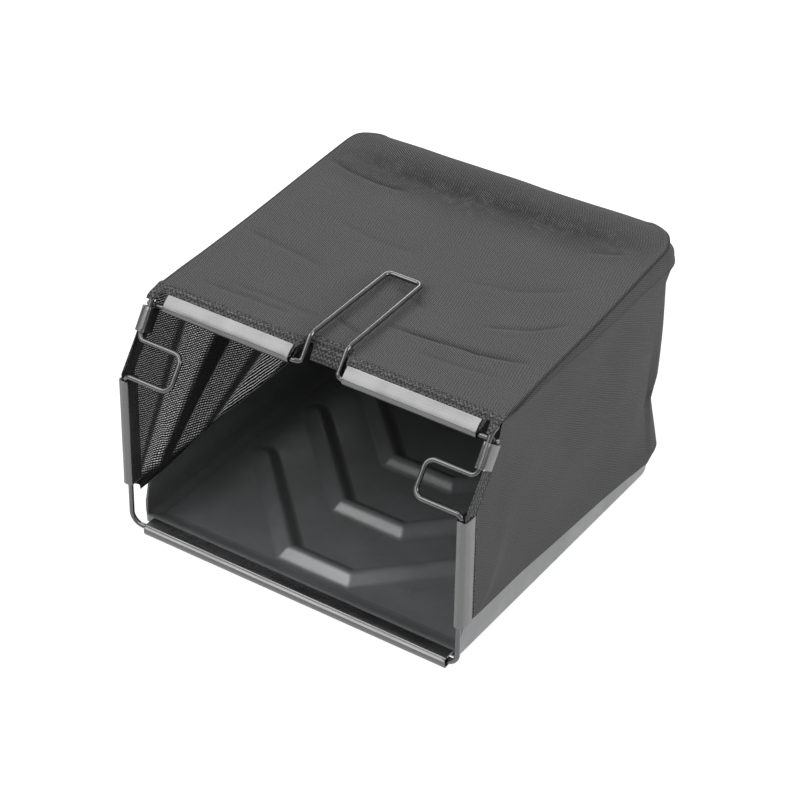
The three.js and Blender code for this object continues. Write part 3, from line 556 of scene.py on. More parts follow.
def wall_push(c, z):
    """Outward push of the fabric from its tight shape."""
    top = c["topz"]
    free = smooth((top - z) / 22) * smooth((z - c["z0"]) / 14)
    y = c["low"][1]
    d = np.zeros(z.shape)
    if c["kind"] == "side":
        away = smooth((y - 45) / 60)
        if c["side"] > 0:
            d = d + 3.0 * bell(y - 285, 36) * bell(z - 178, 62) - 4.5 * bell(y - 350, 24) * bell(z - 108, 48)
            d = d + (0.5 * np.sin(y * 0.045 + z * 0.02) + 0.35 * np.sin(z * 0.06 - y * 0.03)) * away
        else:
            f, _ = fan(np.full(z.shape, y), z)
            d = d + f * away
        d = d * free
    if c["kind"] != "rear":
        w = 1.0 if c["kind"] == "corner" else float(smooth((y - 300) / 45))
        w *= 1.0 if c["side"] > 0 else 0.55
        shape = np.interp(z, SAG_Z, SAG)
        spread = 0.45 + 0.55 * math.sin(math.radians(2 * min(c["a"], 90)))
        d = d + shape * w * spread
    if c["kind"] == "rear":
        t = abs(c["t"])
        hollow = -6.0 * bell(z - 125, 50) * (1 - 0.4 * t) + 1.2 * np.sin(c["t"] * 9 + z * 0.03)
        d = d + hollow * free * smooth((z - 52) / 30)
        shape = np.interp(z, SAG_Z, SAG)
        d = d + 0.45 * shape * float(smooth((t - 0.7) / 0.3)) * (1.0 if c["side"] > 0 else 0.55)
    return d


def wall_column(c, z):
    """Points of one column at the heights z."""
    y = c["y"]
    blend0 = rim_side(y) + 1
    near = 50 - blend0
    height = lerp(near, max(c["topz"] - blend0 - 18, near), float(smooth((y - 28) / 90)))
    w = smooth((z - blend0) / height)
    low = np.array(c["low"])[None, :] + np.array(c["out"])[None, :] * (z * DRAFT)[:, None]
    if y < TRAY_Y0:
        low = low + np.array([[0, 8 * (1 - (y - KNEE[0]) / (TRAY_Y0 - KNEE[0]))]])
    p = lerp(low, np.array(c["top"])[None, :], w[:, None])
    p = p + np.array(c["out"])[None, :] * wall_push(c, z)[:, None]
    # Above the crease the fabric leans in to the seam
    if y > FULL_Y + 1:
        lean = smooth((z - CREASE_Z) / max(c["topz"] - CREASE_Z, 1)) * 3.0 * float(smooth((y - FULL_Y) / 25))
        p = p - np.array(c["out"])[None, :] * lean[:, None]
        ridge = 1.2 * bell(z - CREASE_Z, 2.4) * float(smooth((y - FULL_Y) / 25))
        p = p + np.array(c["out"])[None, :] * ridge[:, None]
    return np.stack([p[:, 0] * c["side"], p[:, 1], z], axis=1)


def finish_column(c):
    top = wall_top_z(c["y"]) if c["kind"] == "side" else None
    if top is None:
        y = c["top"][1]
        t = 1.0 if c["kind"] != "rear" else c["t"]
        top = float(roof_shape(np.array([c["top"][0] * c["side"]]), np.array([y]), np.array([float(t)]))[0]) - 0.3
    c["topz"] = top
    c["z0"] = float(skirt_z(c["y"]))
    return c


def side_columns(side):
    ys = [2, 4.5, 7, 10, 13, 16, 18.5, 21.5, 24.5, 28, 31, 34, 37, CUT_Y - 0.02, CUT_Y + 3, STEP_Y - 4, STEP_Y]
    ys += [lerp(STEP_Y, FULL_Y, k / 3) for k in (1, 2)] + [FULL_Y + 0.02] + list(np.arange(FULL_Y + 4, 341, 4.0))
    cols = [column("side", side, y) for y in ys] + [column("corner", side, a) for a in np.arange(0, 44.9, 3.75)]
    cols.append(column("corner", side, 44.8))
    return [finish_column(c) for c in cols]


def rear_columns():
    half = [("corner", a) for a in [45.2] + list(np.arange(48.75, 90, 3.75))]
    half += [("rear", t) for t in np.linspace(1, 0.04, 26)]
    right = [column(k, 1, v) for k, v in half]
    left = [column(k, -1, v) for k, v in reversed(half)]
    return [finish_column(c) for c in right + [column("rear", 1, 0.0)] + left]


def wall_grid(cols, low=None, high=None, rows=100, offset=0.0):
    grid = np.zeros((len(cols), rows, 3))
    for i, c in enumerate(cols):
        z0 = c["z0"] if low is None else low(c)
        z1 = c["topz"] if high is None else high(c)
        r = np.linspace(0, 1, rows)
        grid[i] = wall_column(c, z0 + (z1 - z0) * r)
        out = np.array([c["out"][0] * c["side"], c["out"][1], 0])
        grid[i] += out * offset
    return grid


# Tray

def tray_outline(grow):
    w = TRAY_HALF + grow
    rf, rr = max(4 + grow, 0.6), max(TRAY_R + grow, 0.6)
    y0, y1 = TRAY_FRONT - grow, TRAY_Y1 + grow
    out = []

    def arc(cx, cy, r, f, t, n):
        for k in range(n + 1):
            a = math.radians(lerp(f, t, k / n))
            out.append((cx + r * math.cos(a), cy + r * math.sin(a)))

    arc(w - rf, y0 + rf, rf, -90, 0, 10)
    for k in range(1, 60):
        out.append((w, lerp(y0 + rf, y1 - rr, (k / 60) ** 1.6)))
    arc(w - rr, y1 - rr, rr, 0, 90, 20)
    for k in range(1, 40):
        out.append((lerp(w - rr, rr - w, k / 40), y1))
    arc(rr - w, y1 - rr, rr, 90, 180, 20)
    for k in range(59, 0, -1):
        out.append((-w, lerp(y0 + rf, y1 - rr, (k / 60) ** 1.6)))
    arc(rf - w, y0 + rf, rf, 180, 270, 10)
    for k in range(1, 40):
        out.append((lerp(rf - w, w - rf, k / 40), y0))
    return np.array(out)


def rim_z(y):
    rise = np.interp(y, [TRAY_FRONT, TRAY_FRONT + 1, TRAY_FRONT + 3.5, TRAY_FRONT + 9], [-31.7, -28, -16, 0])
    return rim_side(y) + rise


def tray_piece():
    base = tray_outline(0)
    ys = base[:, 1]
    wave = 0.25 * np.sin(ys * 0.06)
    rim = rim_z(ys) + wave * smooth((ys - 40) / 30)
    ones = np.ones(len(base))
    # Rings flagged 1 get a lighter colour on the outer wall: painted reflection
    rings, painted_reflection_flags = [], []

    def ring(grow, z, outer=0.0):
        """grow and z per outline point."""
        g = grow * ones
        k = np.array([tray_outline(v)[i] for i, v in enumerate(g)]) if np.ptp(g) > 1e-6 else tray_outline(float(g[0]))
        rings.append(np.column_stack([k, z * ones]))
        painted_reflection_flags.extend([outer] * len(base))

    r = 5.0
    for a in (0, 30, 60, 90):
        s = math.radians(a)
        ring(-r + r * math.sin(s) + (r * DRAFT if a == 90 else 0), r - r * math.cos(s), 1.0)
    ring((rim * 0.5) * DRAFT, rim * 0.5, 1.0)
    ring((rim - 1.5) * DRAFT, rim - 1.5, 1.0)
    ring((rim - 0.8) * DRAFT + 0.05, rim - 0.7)
    ring(rim * DRAFT - 0.5, rim)
    ring(rim * DRAFT - 1.7, rim)
    ring((rim - 0.8) * DRAFT - 2.2, rim - 0.7)
    inner = np.minimum(rim * 0.55, 22)
    ring(inner * DRAFT - 2.2, inner)
    ring(10.4 * DRAFT - 2.2, np.minimum(10.4, rim * 0.9))
    ring(9.6 * DRAFT - 2.7, np.minimum(9.4, rim * 0.85))
    ring(-3.8, np.minimum(8.7, rim * 0.8))
    for a in (15, 35, 55, 75, 90):
        s = math.radians(a)
        ring(-3.9 - 5.2 * math.sin(s), 2.5 + 5.6 * (1 - math.sin(s) ** 1.4))
    n = len(base)
    pts = np.concatenate(rings)
    faces = []
    for i in range(len(rings) - 1):
        for k in range(n):
            m = (k + 1) % n
            faces.append((i * n + k, i * n + m, (i + 1) * n + m, (i + 1) * n + k))
    faces.append(tuple(range(n - 1, -1, -1)))
    faces.append(tuple((len(rings) - 1) * n + k for k in range(n)))
    pts = pts.tolist()

    # Front lip over the wire, with a slope down to the floor behind it
    def sheet_strip(section, x0, x1, count):
        start = len(pts)
        m = len(section)
        xs = np.linspace(x0, x1, count)
        for x in xs:
            for (y, z) in section:
                pts.append([x, y, z])
        for i in range(count - 1):
            for k in range(m):
                q = (k + 1) % m
                faces.append((start + i * m + k, start + (i + 1) * m + k, start + (i + 1) * m + q, start + i * m + q))
        faces.append(tuple(start + k for k in range(m)))
        faces.append(tuple(start + (count - 1) * m + k for k in range(m - 1, -1, -1)))

    lip = [(-3.6, 8.45), (-3.6, 9.15), (10.9, 9.15), (11.3, 10.0), (12.5, 10.5), (15, 10.1), (18, 9.0), (21, 7.4),
           (24, 5.7), (27, 4.2), (30, 3.1), (33, 2.52), (33, 2.0), (11.8, 2.0), (11.4, 8.45)]
    sheet_strip(lip, -168, 168, 60)
    ends = [q for q in lip if q[0] > 11.2]
    for side in (-1, 1):
        sheet_strip(ends, side * 167.9, side * 176.6, 6)

    # Three ribs with a broad slope on each side and a narrow crest
    for index in range(3):
        y = RIB_FRONT + RIB_PITCH * index + RIB_HALF
        reach = min(TRAY_HALF - 22 - RIB_FLAT, TRAY_Y1 - 45 - y)
        prof = []
        for k in range(33):
            w = lerp(RIB_HALF + 2.9, -RIB_HALF - 2.9, k / 32)
            line = np.mean([np.clip((1 - abs(w + 0.72 * d) / RIB_HALF) / 0.8, 0, 1) for d in range(-4, 5)])
            prof.append((w, RIB_FOOT + RIB_TOP * line))
        start = len(pts)
        tan = math.tan(math.pi / 8)
        ex = RIB_FLAT + reach

        def at(w, s):
            """Point of the rib's line offset by w; s runs from the left tip to the right one."""
            xf = RIB_FLAT + (w - RIB_HALF) * tan
            d = w * math.sqrt(2)
            arm = ex + d / 2
            if s <= 0:
                f = -s
                return (-lerp(xf, arm, f), y - w + (arm - xf) * f)
            if s >= 1:
                f = s - 1
                return (lerp(xf, arm, f), y - w + (arm - xf) * f)
            return (lerp(-xf, xf, s), y - w)

        params = [-1, -0.97, -0.93, -0.88] + list(np.linspace(-0.8, -0.04, 12)) + [-0.015, 0, 0.03]
        params += list(np.linspace(0.1, 0.9, 8)) + [0.97, 1, 1.015] + list(np.linspace(1.04, 1.8, 12))
        params += [1.88, 1.93, 1.97, 2]
        for s in params:
            fade = float(smooth((1 - abs(s - 0.5) / 1.5) / 0.09))
            for w, z in prof:
                px, py = at(w, s)
                pts.append([px, py, RIB_FOOT + (z - RIB_FOOT) * fade])
        m = len(prof)
        for i in range(len(params) - 1):
            for k in range(m - 1):
                a = start + i * m + k
                faces.append((a, a + m, a + m + 1, a + 1))
    ob = piece("tray_shell", pts, faces, M["tray"], ["tray"], 38, np.array(pts)[:, :2],
               {"outer": painted_reflection_flags + [0.0] * (len(pts) - len(painted_reflection_flags))})
    bm = bmesh.new()
    bm.from_mesh(ob.data)
    bmesh.ops.recalc_face_normals(bm, faces=bm.faces)
    bm.to_mesh(ob.data)
    bm.free()
    ob.data.set_sharp_from_angle(angle=math.radians(38))
    return ob


# Materials

class Tree:
    """Short way to write a node tree."""

    def __init__(self, tree):
        self.tree = tree

    def add(self, kind, **inputs):
        node = self.tree.nodes.new(kind)
        for key, value in inputs.items():
            if key.startswith("_"):
                setattr(node, key[1:], value)
            else:
                index = int(key[1:]) if key[0] == "i" and key[1:].isdigit() else key.replace("__", " ")
                self.put(node.inputs[index], value)
        return node

    def put(self, socket, value):
        if isinstance(value, bpy.types.NodeSocket):
            self.tree.links.new(value, socket)
        else:
            socket.default_value = value

    def math(self, op, a, b=0.0, c=0.0):
        return self.add("ShaderNodeMath", _operation=op, i0=a, i1=b, i2=c).outputs[0]

    def mix(self, factor, a, b):
        node = self.add("ShaderNodeMix", _data_type="RGBA", i0=factor)
        self.put(node.inputs[6], a)
        self.put(node.inputs[7], b)
        return node.outputs[2]

    def noise(self, vector, scale, detail=2.0, rough=0.5):
        node = self.add("ShaderNodeTexNoise", Scale=scale, Detail=detail, Roughness=rough)
        if vector is not None:
            self.put(node.inputs["Vector"], vector)
        return node.outputs[0]

    def ramp(self, value, lo, hi, a=0.0, b=1.0):
        node = self.add("ShaderNodeMapRange", Value=value)
        node.inputs["From Min"].default_value = lo
        node.inputs["From Max"].default_value = hi
        node.inputs["To Min"].default_value = a
        node.inputs["To Max"].default_value = b
        return node.outputs[0]

    def bump(self, height, strength, distance, normal=None):
        node = self.add("ShaderNodeBump", Height=height, Strength=strength, Distance=distance)
        if normal is not None:
            self.put(node.inputs["Normal"], normal)
        return node.outputs[0]

    def seen(self, path, glossy):
        """1 for camera and transmission rays, `glossy` for glossy rays and 0 for the others."""
        return self.math("MAXIMUM", self.math("MAXIMUM", path["Is Camera Ray"], glossy), path["Is Transmission Ray"])


class Nodes(Tree):
    """A material around the standard shader."""

    def __init__(self, name):
        self.mat = bpy.data.materials.new(name)
        self.mat.use_nodes = True
        super().__init__(self.mat.node_tree)
        self.shader = self.tree.nodes["Principled BSDF"]

    def set(self, **values):
        for key, value in values.items():
            self.put(self.shader.inputs[key.replace("__", " ")], value)
        return self


def grey(v, tint=0.0):
    return (v, v * (1 + tint * 0.5), v * (1 + tint), 1)


def wire_material():
    n = Nodes("black wire")
    at = n.add("ShaderNodeTexCoord").outputs["Object"]
    fine = n.noise(at, 900, 2)
    wide = n.noise(at, 60, 3)
    n.set(Base__Color=n.mix(n.ramp(wide, 0.35, 0.7), grey(0.012, 0.05), grey(0.03, 0.04)),
          Roughness=n.ramp(wide, 0.3, 0.7, 0.14, 0.22), Metallic=0.0, IOR=1.75, Specular__IOR__Level=0.75,
          Normal=n.bump(fine, 0.05, 0.0004))
    return n.mat


def weld_material():
    n = Nodes("weld bead")
    at = n.add("ShaderNodeTexCoord").outputs["Object"]
    lump = n.noise(at, 420, 3)
    n.set(Base__Color=n.mix(lump, grey(0.02), grey(0.05)), Roughness=n.ramp(lump, 0.3, 0.7, 0.2, 0.4),
          IOR=1.7, Normal=n.bump(lump, 0.5, 0.001))
    return n.mat


def channel_material():
    n = Nodes("black channel plastic")
    uv = n.add("ShaderNodeUVMap").outputs[0]
    streak = n.add("ShaderNodeMapping", Scale=(9.0, 1500.0, 1.0), Vector=uv).outputs[0]
    lines = n.noise(streak, 1.0, 2)
    cloud = n.noise(n.add("ShaderNodeTexCoord").outputs["Object"], 45, 3)
    n.set(Base__Color=n.mix(n.ramp(lines, 0.3, 0.75), grey(0.016, 0.03), grey(0.038, 0.03)),
          Roughness=n.ramp(n.math("ADD", lines, cloud), 0.6, 1.4, 0.15, 0.42), IOR=1.9,
          Specular__IOR__Level=0.72, Normal=n.bump(lines, 0.08, 0.0003))
    return n.mat


def tray_material():
    n = Nodes("black moulded tray")
    at = n.add("ShaderNodeTexCoord").outputs["Object"]
    cloud = n.noise(at, 20, 8, 0.7)
    grain = n.noise(at, 1500, 2)
    flow = n.noise(n.add("ShaderNodeMapping", Scale=(9.0, 34.0, 20.0), Vector=at).outputs[0], 1.0, 4, 0.6)
    scratch = n.add("ShaderNodeMapping", Scale=(120.0, 420.0, 60.0), Vector=at).outputs[0]
    scuff = n.ramp(n.noise(scratch, 1.0, 2), 0.66, 0.75)
    tone = n.mix(n.ramp(cloud, 0.3, 0.7), grey(0.116, 0.03), grey(0.150, 0.07))
    # Painted reflection: the outer wall band takes a lighter base colour
    outer = n.add("ShaderNodeAttribute", _attribute_name="outer").outputs["Fac"]
    tone = n.mix(outer, tone, n.mix(n.ramp(cloud, 0.3, 0.7), grey(0.165, 0.03), grey(0.185, 0.06)))
    n.set(Base__Color=n.mix(n.math("MULTIPLY", scuff, 0.4), tone, grey(0.22, 0.08)),
          Roughness=n.ramp(flow, 0.3, 0.7, 0.30, 0.46), IOR=1.7, Specular__IOR__Level=0.68,
          Normal=n.bump(flow, 0.10, 0.002, n.bump(grain, 0.10, 0.0003)))
    return n.mat


def mesh_material(name, base, depth, see_through=False):
    """Warp-knitted mesh: slanting courses of fine holes, uneven in strength from place to place."""
    n = Nodes(name)
    uv = n.add("ShaderNodeUVMap").outputs[0]
    split = n.add("ShaderNodeSeparateXYZ", Vector=uv)
    wob = n.ramp(n.noise(uv, 60, 3), 0, 1, -0.0016, 0.0016)

    def wave(ku, kv, phase=0.0):
        a = n.math("MULTIPLY_ADD", split.outputs[0], 2000 * math.pi * ku, phase)
        b = n.math("MULTIPLY", n.math("ADD", split.outputs[1], wob), 2000 * math.pi * kv)
        return n.math("COSINE", n.math("ADD", a, b))

    cross = n.math("MULTIPLY_ADD", wave(0.03, 0.20), 0.5, 0.5)
    course = n.math("MULTIPLY", wave(0.352, 0.077), n.math("MULTIPLY_ADD", cross, 0.65, 0.10))
    check = wave(0.242, 0.514)
    patch = n.ramp(n.noise(uv, 26, 3, 0.6), 0.35, 0.62)
    weave = n.math("ADD", n.math("MULTIPLY", course, n.math("MULTIPLY_ADD", patch, 0.6, 0.4)),
                   n.math("MULTIPLY", check, n.math("MULTIPLY_ADD", patch, -0.7, 1.3)))
    yarn = n.noise(n.add("ShaderNodeMapping", Scale=(700.0, 500.0, 1.0), Vector=uv).outputs[0], 1.0, 2)
    worn = n.noise(uv, 14, 4, 0.6)
    # Painted shade: this attribute darkens the roof's rear trough, and the bright dots it gates are painted glints
    glint = n.add("ShaderNodeAttribute", _attribute_name="glint").outputs["Fac"]
    level = n.math("MULTIPLY_ADD", weave, depth, 1.0)
    level = n.math("ADD", level, n.ramp(yarn, 0.2, 0.8, -depth * 0.6, depth * 0.6))
    level = n.math("MULTIPLY", level, n.ramp(worn, 0.3, 0.7, 0.94, 1.05))
    level = n.math("MULTIPLY", level, n.math("MULTIPLY_ADD", glint, -0.74, 1.0))
    # Darkens along the seams, and along the creases as painted shade
    seam = n.add("ShaderNodeAttribute", _attribute_name="seam").outputs["Fac"]
    level = n.math("MULTIPLY", level, n.math("MULTIPLY_ADD", seam, -0.78, 1.0))
    painted_glint_dots = n.math("MULTIPLY", n.ramp(n.math("ADD", weave, n.math("MULTIPLY", yarn, 1.3)), 1.25, 1.75), glint)
    level = n.math("MULTIPLY_ADD", painted_glint_dots, n.ramp(n.noise(uv, 120, 2), 0.4, 0.6, 0.5, 2.0), level)
    tone = n.mix(n.ramp(level, 0, 3), grey(0.0), grey(3 * base))
    n.set(Base__Color=tone, Roughness=0.9, Specular__IOR__Level=0.25,
          Normal=n.bump(weave, 0.25, 0.0004, n.bump(yarn, 0.2, 0.0002)))
    n.set(Sheen__Weight=0.06, Sheen__Roughness=0.5)
    if see_through:
        gate = n.add("ShaderNodeAttribute", _attribute_name="open").outputs["Fac"]
        row = n.math("MULTIPLY_ADD", wave(0.10, 0.40), 0.5, 0.5)
        dot = n.math("MULTIPLY_ADD", wave(0.245, -0.20), 0.5, 0.5)
        hole = n.math("MULTIPLY", n.ramp(row, 0.6, 1.0), n.ramp(dot, -0.1, 0.8))
        stripe = n.add("ShaderNodeAttribute", _attribute_name="stripe").outputs["Fac"]
        hole = n.mix(stripe, hole, n.ramp(wave(0.0, 0.30), 0.70, 1.0))
        speck = n.ramp(n.noise(uv, 300, 2), 0.35, 0.65, 0.45, 1.0)
        n.set(Alpha=n.math("SUBTRACT", 1.0, n.math("MULTIPLY", n.math("MULTIPLY", hole, speck), gate)))
    return n.mat


def tape_material():
    """Hem tape under a rough zigzag stitch."""
    n = Nodes("hem tape")
    uv = n.add("ShaderNodeUVMap").outputs[0]
    split = n.add("ShaderNodeSeparateXYZ", Vector=uv)
    fuzz = n.noise(uv, 420, 3, 0.7)
    zig = n.math("PINGPONG", n.math("MULTIPLY", split.outputs[0], 1 / 0.0021), 1.0)
    shift = n.math("ADD", n.math("MULTIPLY", zig, 0.6), n.math("MULTIPLY", fuzz, 2.2))
    row = n.math("FRACT", n.math("ADD", n.math("MULTIPLY", split.outputs[1], 1 / 0.0045), shift))
    thread = n.ramp(n.math("ABSOLUTE", n.math("SUBTRACT", row, 0.5)), 0.10, 0.34, 1.0, 0.0)
    tone = n.mix(n.math("MULTIPLY", thread, n.ramp(fuzz, 0.35, 0.62, 0.1, 1.0)), grey(0.034), grey(0.225))
    n.set(Base__Color=tone, Roughness=0.95, Specular__IOR__Level=0.2,
          Normal=n.bump(n.math("ADD", thread, fuzz), 0.5, 0.0006))
    n.set(Sheen__Weight=0.06)
    return n.mat


def thread_material():
    n = Nodes("sewing thread")
    at = n.add("ShaderNodeTexCoord").outputs["Object"]
    ply = n.noise(at, 2500, 2)
    n.set(Base__Color=n.mix(ply, grey(0.03), grey(0.09)), Roughness=0.7, Normal=n.bump(ply, 0.4, 0.0002))
    return n.mat


M = {
    "wire": wire_material(),
    "weld": weld_material(),
    "channel": channel_material(),
    "tray": tray_material(),
    "roof": mesh_material("roof mesh", 0.084, 0.62),
    "wall": mesh_material("wall mesh", 0.081, 0.34),
    # The left wall's mesh gets a darker base than the other walls: painted shade for its shaded inside
    "open": mesh_material("open wall mesh with painted shade", 0.038, 0.30, True),
    "tape": tape_material(),
    "thread": thread_material(),
}

# Pieces

pts, faces = bar(bent(frame_entries()), WIRE_R)
piece("frame_wire_bent", pts, faces, M["wire"], ["frame_wire"])
pts, faces = bar(bent(rod_entries()), WIRE_R)
piece("top_rod_bent", pts, faces, M["wire"], ["top_rod"])


def weld(side):
    bm = bmesh.new()
    bmesh.ops.create_icosphere(bm, subdivisions=4, radius=1.0)
    at = Vector((side * HALF, (ROD[0] + 43.8) / 2, (ROD[1] + 230.8) / 2))
    pts = []
    for v in bm.verts:
        c = v.co
        lump = 1 + 0.10 * math.sin(c.x * 5 + 1) * math.sin(c.y * 6) + 0.06 * math.sin(c.z * 9 + c.x * 4)
        pts.append((at.x + c.x * 4.2 * lump, at.y + c.y * 2.6 * lump, at.z + c.z * 3.4 * lump))
    faces = [[v.index for v in f.verts] for f in bm.faces]
    bm.free()
    name = "weld_" + ("right" if side > 0 else "left")
    piece(name, pts, faces, M["weld"], ["weld_bead_" + ("right" if side > 0 else "left")], 0)


weld(1)
weld(-1)

SIDE_DIR = Vector((0, 2.5, 168.05)).normalized()
LEAN = Vector((0, 22.57, 33.25)).normalized()
for sign, tag in ((1, "right"), (-1, "left")):
    s0 = Vector((HALF, 0, 5.8)) + SIDE_DIR * (45.2 / SIDE_DIR.z)
    channel("side_channel_%s_clip" % tag, s0, SIDE_DIR, (0, SIDE_DIR.z, -SIDE_DIR.y), 118, sign)
    u0 = Vector((HALF, *LOOP_TOP)) + LEAN * 7
    channel("upper_channel_%s_clip" % tag, u0, LEAN, (0, LEAN.z, -LEAN.y), 24.4, sign)
    outer_end = (TOP_INNER + TOP_LENGTH, *ROD)
    channel("top_channel_%s_clip" % tag, outer_end, (-1, 0, 0), (0, *FLAP), TOP_LENGTH, sign, True)
channel("bottom_channel_clip", (175, -1.6, 4.2), (-1, 0, 0), (0, 1, 0), 342, 1, True)

tray_piece()

roof, FLAP_ROWS = roof_grid()
# Painted shade over the trough in front of the rear rail; the same attribute gates painted glints in the roof
# material
rear_edge = END_Y + ease_y(roof[:, :, 0] / 180)
glint = bell(roof[:, :, 1] - (rear_edge - 42), 24) * (1 - np.abs(roof[:, :, 0] / 185) ** 4) * 0.9
edge_t = np.abs(roof[:, :1, 0]) * np.ones(roof.shape[:2])
roof_uv = lengths(roof)
roof_uv[:, :, 1] -= roof_uv[:, FLAP_ROWS:FLAP_ROWS + 1, 1]
# Dark seam line along the roof's side edges, plus painted shade along the creases
seam_and_crease_shade = smooth((edge_t - edge_t.max() + 2.8) / 1.5) * smooth((roof[:, :, 1] - FOLD[0]) / 8)
for line, depth, width, ridge in CREASES:
    mark = 0.30 * abs(depth) * crease(roof[:, :, 0], roof[:, :, 1], line, 1.0, 2.4, 0)
    seam_and_crease_shade += mark * smooth((roof[:, :, 1] - FOLD[0] - 5) / 12)
seam_and_crease_shade = np.clip(seam_and_crease_shade, 0, 1)
roof_ob = cloth("roof_cloth", roof, M["roof"], ["roof_panel"], uv=roof_uv,
                attrs={"glint": glint, "seam": seam_and_crease_shade})

right_cols, left_cols, rear_cols = side_columns(1), side_columns(-1), rear_columns()
right_wall, left_wall, rear_wall = wall_grid(right_cols), wall_grid(left_cols), wall_grid(rear_cols)


def seam_and_crease_shade_rows(grid):
    """Dark seam line, and painted shade along the crease below it: 1 along the upper edge of a wall."""
    mark = 0.55 * bell(grid[:, :, 2] - CREASE_Z + 1.5, 1.7) * smooth((grid[:, :, 1] - FULL_Y - 4) / 30)
    mark[:, -1] = 1
    return mark


right_ob = cloth("side_cloth_right", right_wall, M["wall"], ["side_panel_right"],
                 attrs={"seam": seam_and_crease_shade_rows(right_wall)})
open_left, stripe = opening_of(left_wall[:, :, 1], left_wall[:, :, 2])
left_ob = cloth("side_cloth_left", left_wall, M["open"], ["side_panel_left"],
                attrs={"open": open_left, "stripe": stripe, "seam": seam_and_crease_shade_rows(left_wall)})
rear_ob = cloth("rear_cloth", rear_wall, M["wall"], ["rear_panel"], attrs={"seam": seam_and_crease_shade_rows(rear_wall)})

# Hem along the front of the roof, laid on it and following it
hem = roof[:, :FLAP_ROWS]
hem_up = normals(roof, np.array([0, 0, 1.0]))[:, :FLAP_ROWS]
roof_hem_ob = cloth("roof_hem_tape", hem + hem_up * 0.9, M["tape"], ["roof_hem"], thick=0.8)

tapes = {}
for side, cols, tag in ((1, right_cols, "right"), (-1, left_cols, "left")):
    lower = [c for c in cols if c["y"] > 24]
    tapes["lower_tape_" + tag] = wall_grid(
        lower, lambda c: c["z0"] + 0.5, lambda c: min(c["z0"] + TAPE_WIDTH, float(rim_side(c["y"])) - 0.5), 8, -1.1)
    seam = [c for c in cols if c["y"] > FULL_Y + 14]
    tapes["seam_tape_" + tag] = wall_grid(seam, lambda c: c["topz"] - SEAM_WIDTH, lambda c: c["topz"] - 0.3, 8, -1.1)
    corner = [finish_column(column("corner", side, a)) for a in np.linspace(35, 55, 9)]
    tapes["corner_tape_" + tag] = wall_grid(corner, lambda c: 52.5, lambda c: c["topz"] - 10, 48, -1.6)
tapes["lower_tape_rear"] = wall_grid(rear_cols, lambda c: c["z0"] + 0.5, lambda c: c["z0"] + TAPE_WIDTH, 8, -1.1)
tapes["seam_tape_rear"] = wall_grid(rear_cols, lambda c: c["topz"] - SEAM_WIDTH, lambda c: c["topz"] - 0.3, 8, -1.1)
for key, grid in tapes.items():
    cloth(key + "_sewn", grid, M["tape"], [key], thick=0.5)


def front_hem_grid():
    edge = [(2, 51.5), (2, KNEE[1]), (24, LOOP_TOP[1]), (CUT_Y - 0.5, CUT_Z)]
    stations = [(edge[0], (1.0, 0.0))]
    for k in (1, 2):
        d0 = np.array(edge[k]) - np.array(edge[k - 1])
        d1 = np.array(edge[k + 1]) - np.array(edge[k])
        d0, d1 = d0 / np.linalg.norm(d0), d1 / np.linalg.norm(d1)
        mean = (d0 + d1) / np.linalg.norm(d0 + d1)
        g = 1 / mean.dot(d1)
        stations.append((edge[k], (mean[1] * g, -mean[0] * g)))
    last = np.array(edge[3]) - np.array(edge[2])
    last = last / np.linalg.norm(last)
    stations.append((edge[3], (last[1], -last[0])))
    cols = []
    for s in range(3):
        for k in range(1 if s else 0, 13):
            p = lerp(np.array(stations[s][0]), np.array(stations[s + 1][0]), k / 12)
            n = lerp(np.array(stations[s][1]), np.array(stations[s + 1][1]), k / 12)
            rows = []
            for w in np.linspace(0, HEM_WIDTH, 10):
                y, z = p[0] + n[0] * w, p[1] + n[1] * w
                rows.append((float(top_x(y)), y, z))
            cols.append(rows)
    return np.array(cols)


MIRROR = np.array([-1, 1, 1])
hems = front_hem_grid() + np.array([1.1, 0, 0])
hems_left = hems * MIRROR
hem_right_ob = cloth("front_hem_right_tape", hems, M["tape"], ["front_hem_right"], thick=0.8)
hem_left_ob = cloth("front_hem_left_tape", hems_left, M["tape"], ["front_hem_left"], thick=0.8)


# Stitches

def stitches(name, line, up, step, length, radius):
    """A row of short threads along a line of points; `up` is the way out of the cloth."""
    line = np.array(line)
    seg = np.linalg.norm(np.diff(line, axis=0), axis=1)
    at = np.concatenate([[0], np.cumsum(seg)])
    pts, faces = [], []
    for s in np.arange(step, at[-1] - step, step):
        a = np.array([np.interp(s, at, line[:, k]) for k in range(3)])
        b = np.array([np.interp(s + length, at, line[:, k]) for k in range(3)])
        n = np.array([np.interp(s, at, np.array(up)[:, k]) for k in range(3)])
        n = n / np.linalg.norm(n)
        d = b - a
        w = np.cross(d / np.linalg.norm(d), n)
        start = len(pts)
        for t, lift, r in ((0, -0.1, 0.35), (0.25, 0.22, 1), (0.75, 0.22, 1), (1, -0.1, 0.35)):
            for k in range(6):
                g = math.pi * k / 3
                pts.append(tuple(a + d * t + n * (lift + radius * r * math.sin(g)) + w * (radius * r * math.cos(g))))
        for i in range(3):
            for k in range(6):
                m = (k + 1) % 6
                faces.append((start + i * 6 + k, start + i * 6 + m, start + i * 6 + 6 + m, start + i * 6 + 6 + k))
        faces.append(tuple(start + k for k in range(5, -1, -1)))
        faces.append(tuple(start + 18 + k for k in range(6)))
    return piece(name, pts, faces, M["thread"], (), 0)


ups = hem_up[:, FLAP_ROWS - 2]
STITCH = (3.0, 2.1, 0.28)
row_ob = stitches("roof_hem_stitches", (hem + hem_up * 1.5)[6:-6, FLAP_ROWS - 2], ups[6:-6], *STITCH)
out = np.tile([1.0, 0, 0], (len(hems), 1))
off = np.array([0.55, 0, 0])
stitch_right = stitches("front_hem_stitches_right", hems[:, 8] + off, out, *STITCH)
stitch_left = stitches("front_hem_stitches_left", hems_left[:, 8] - off, -out, *STITCH)

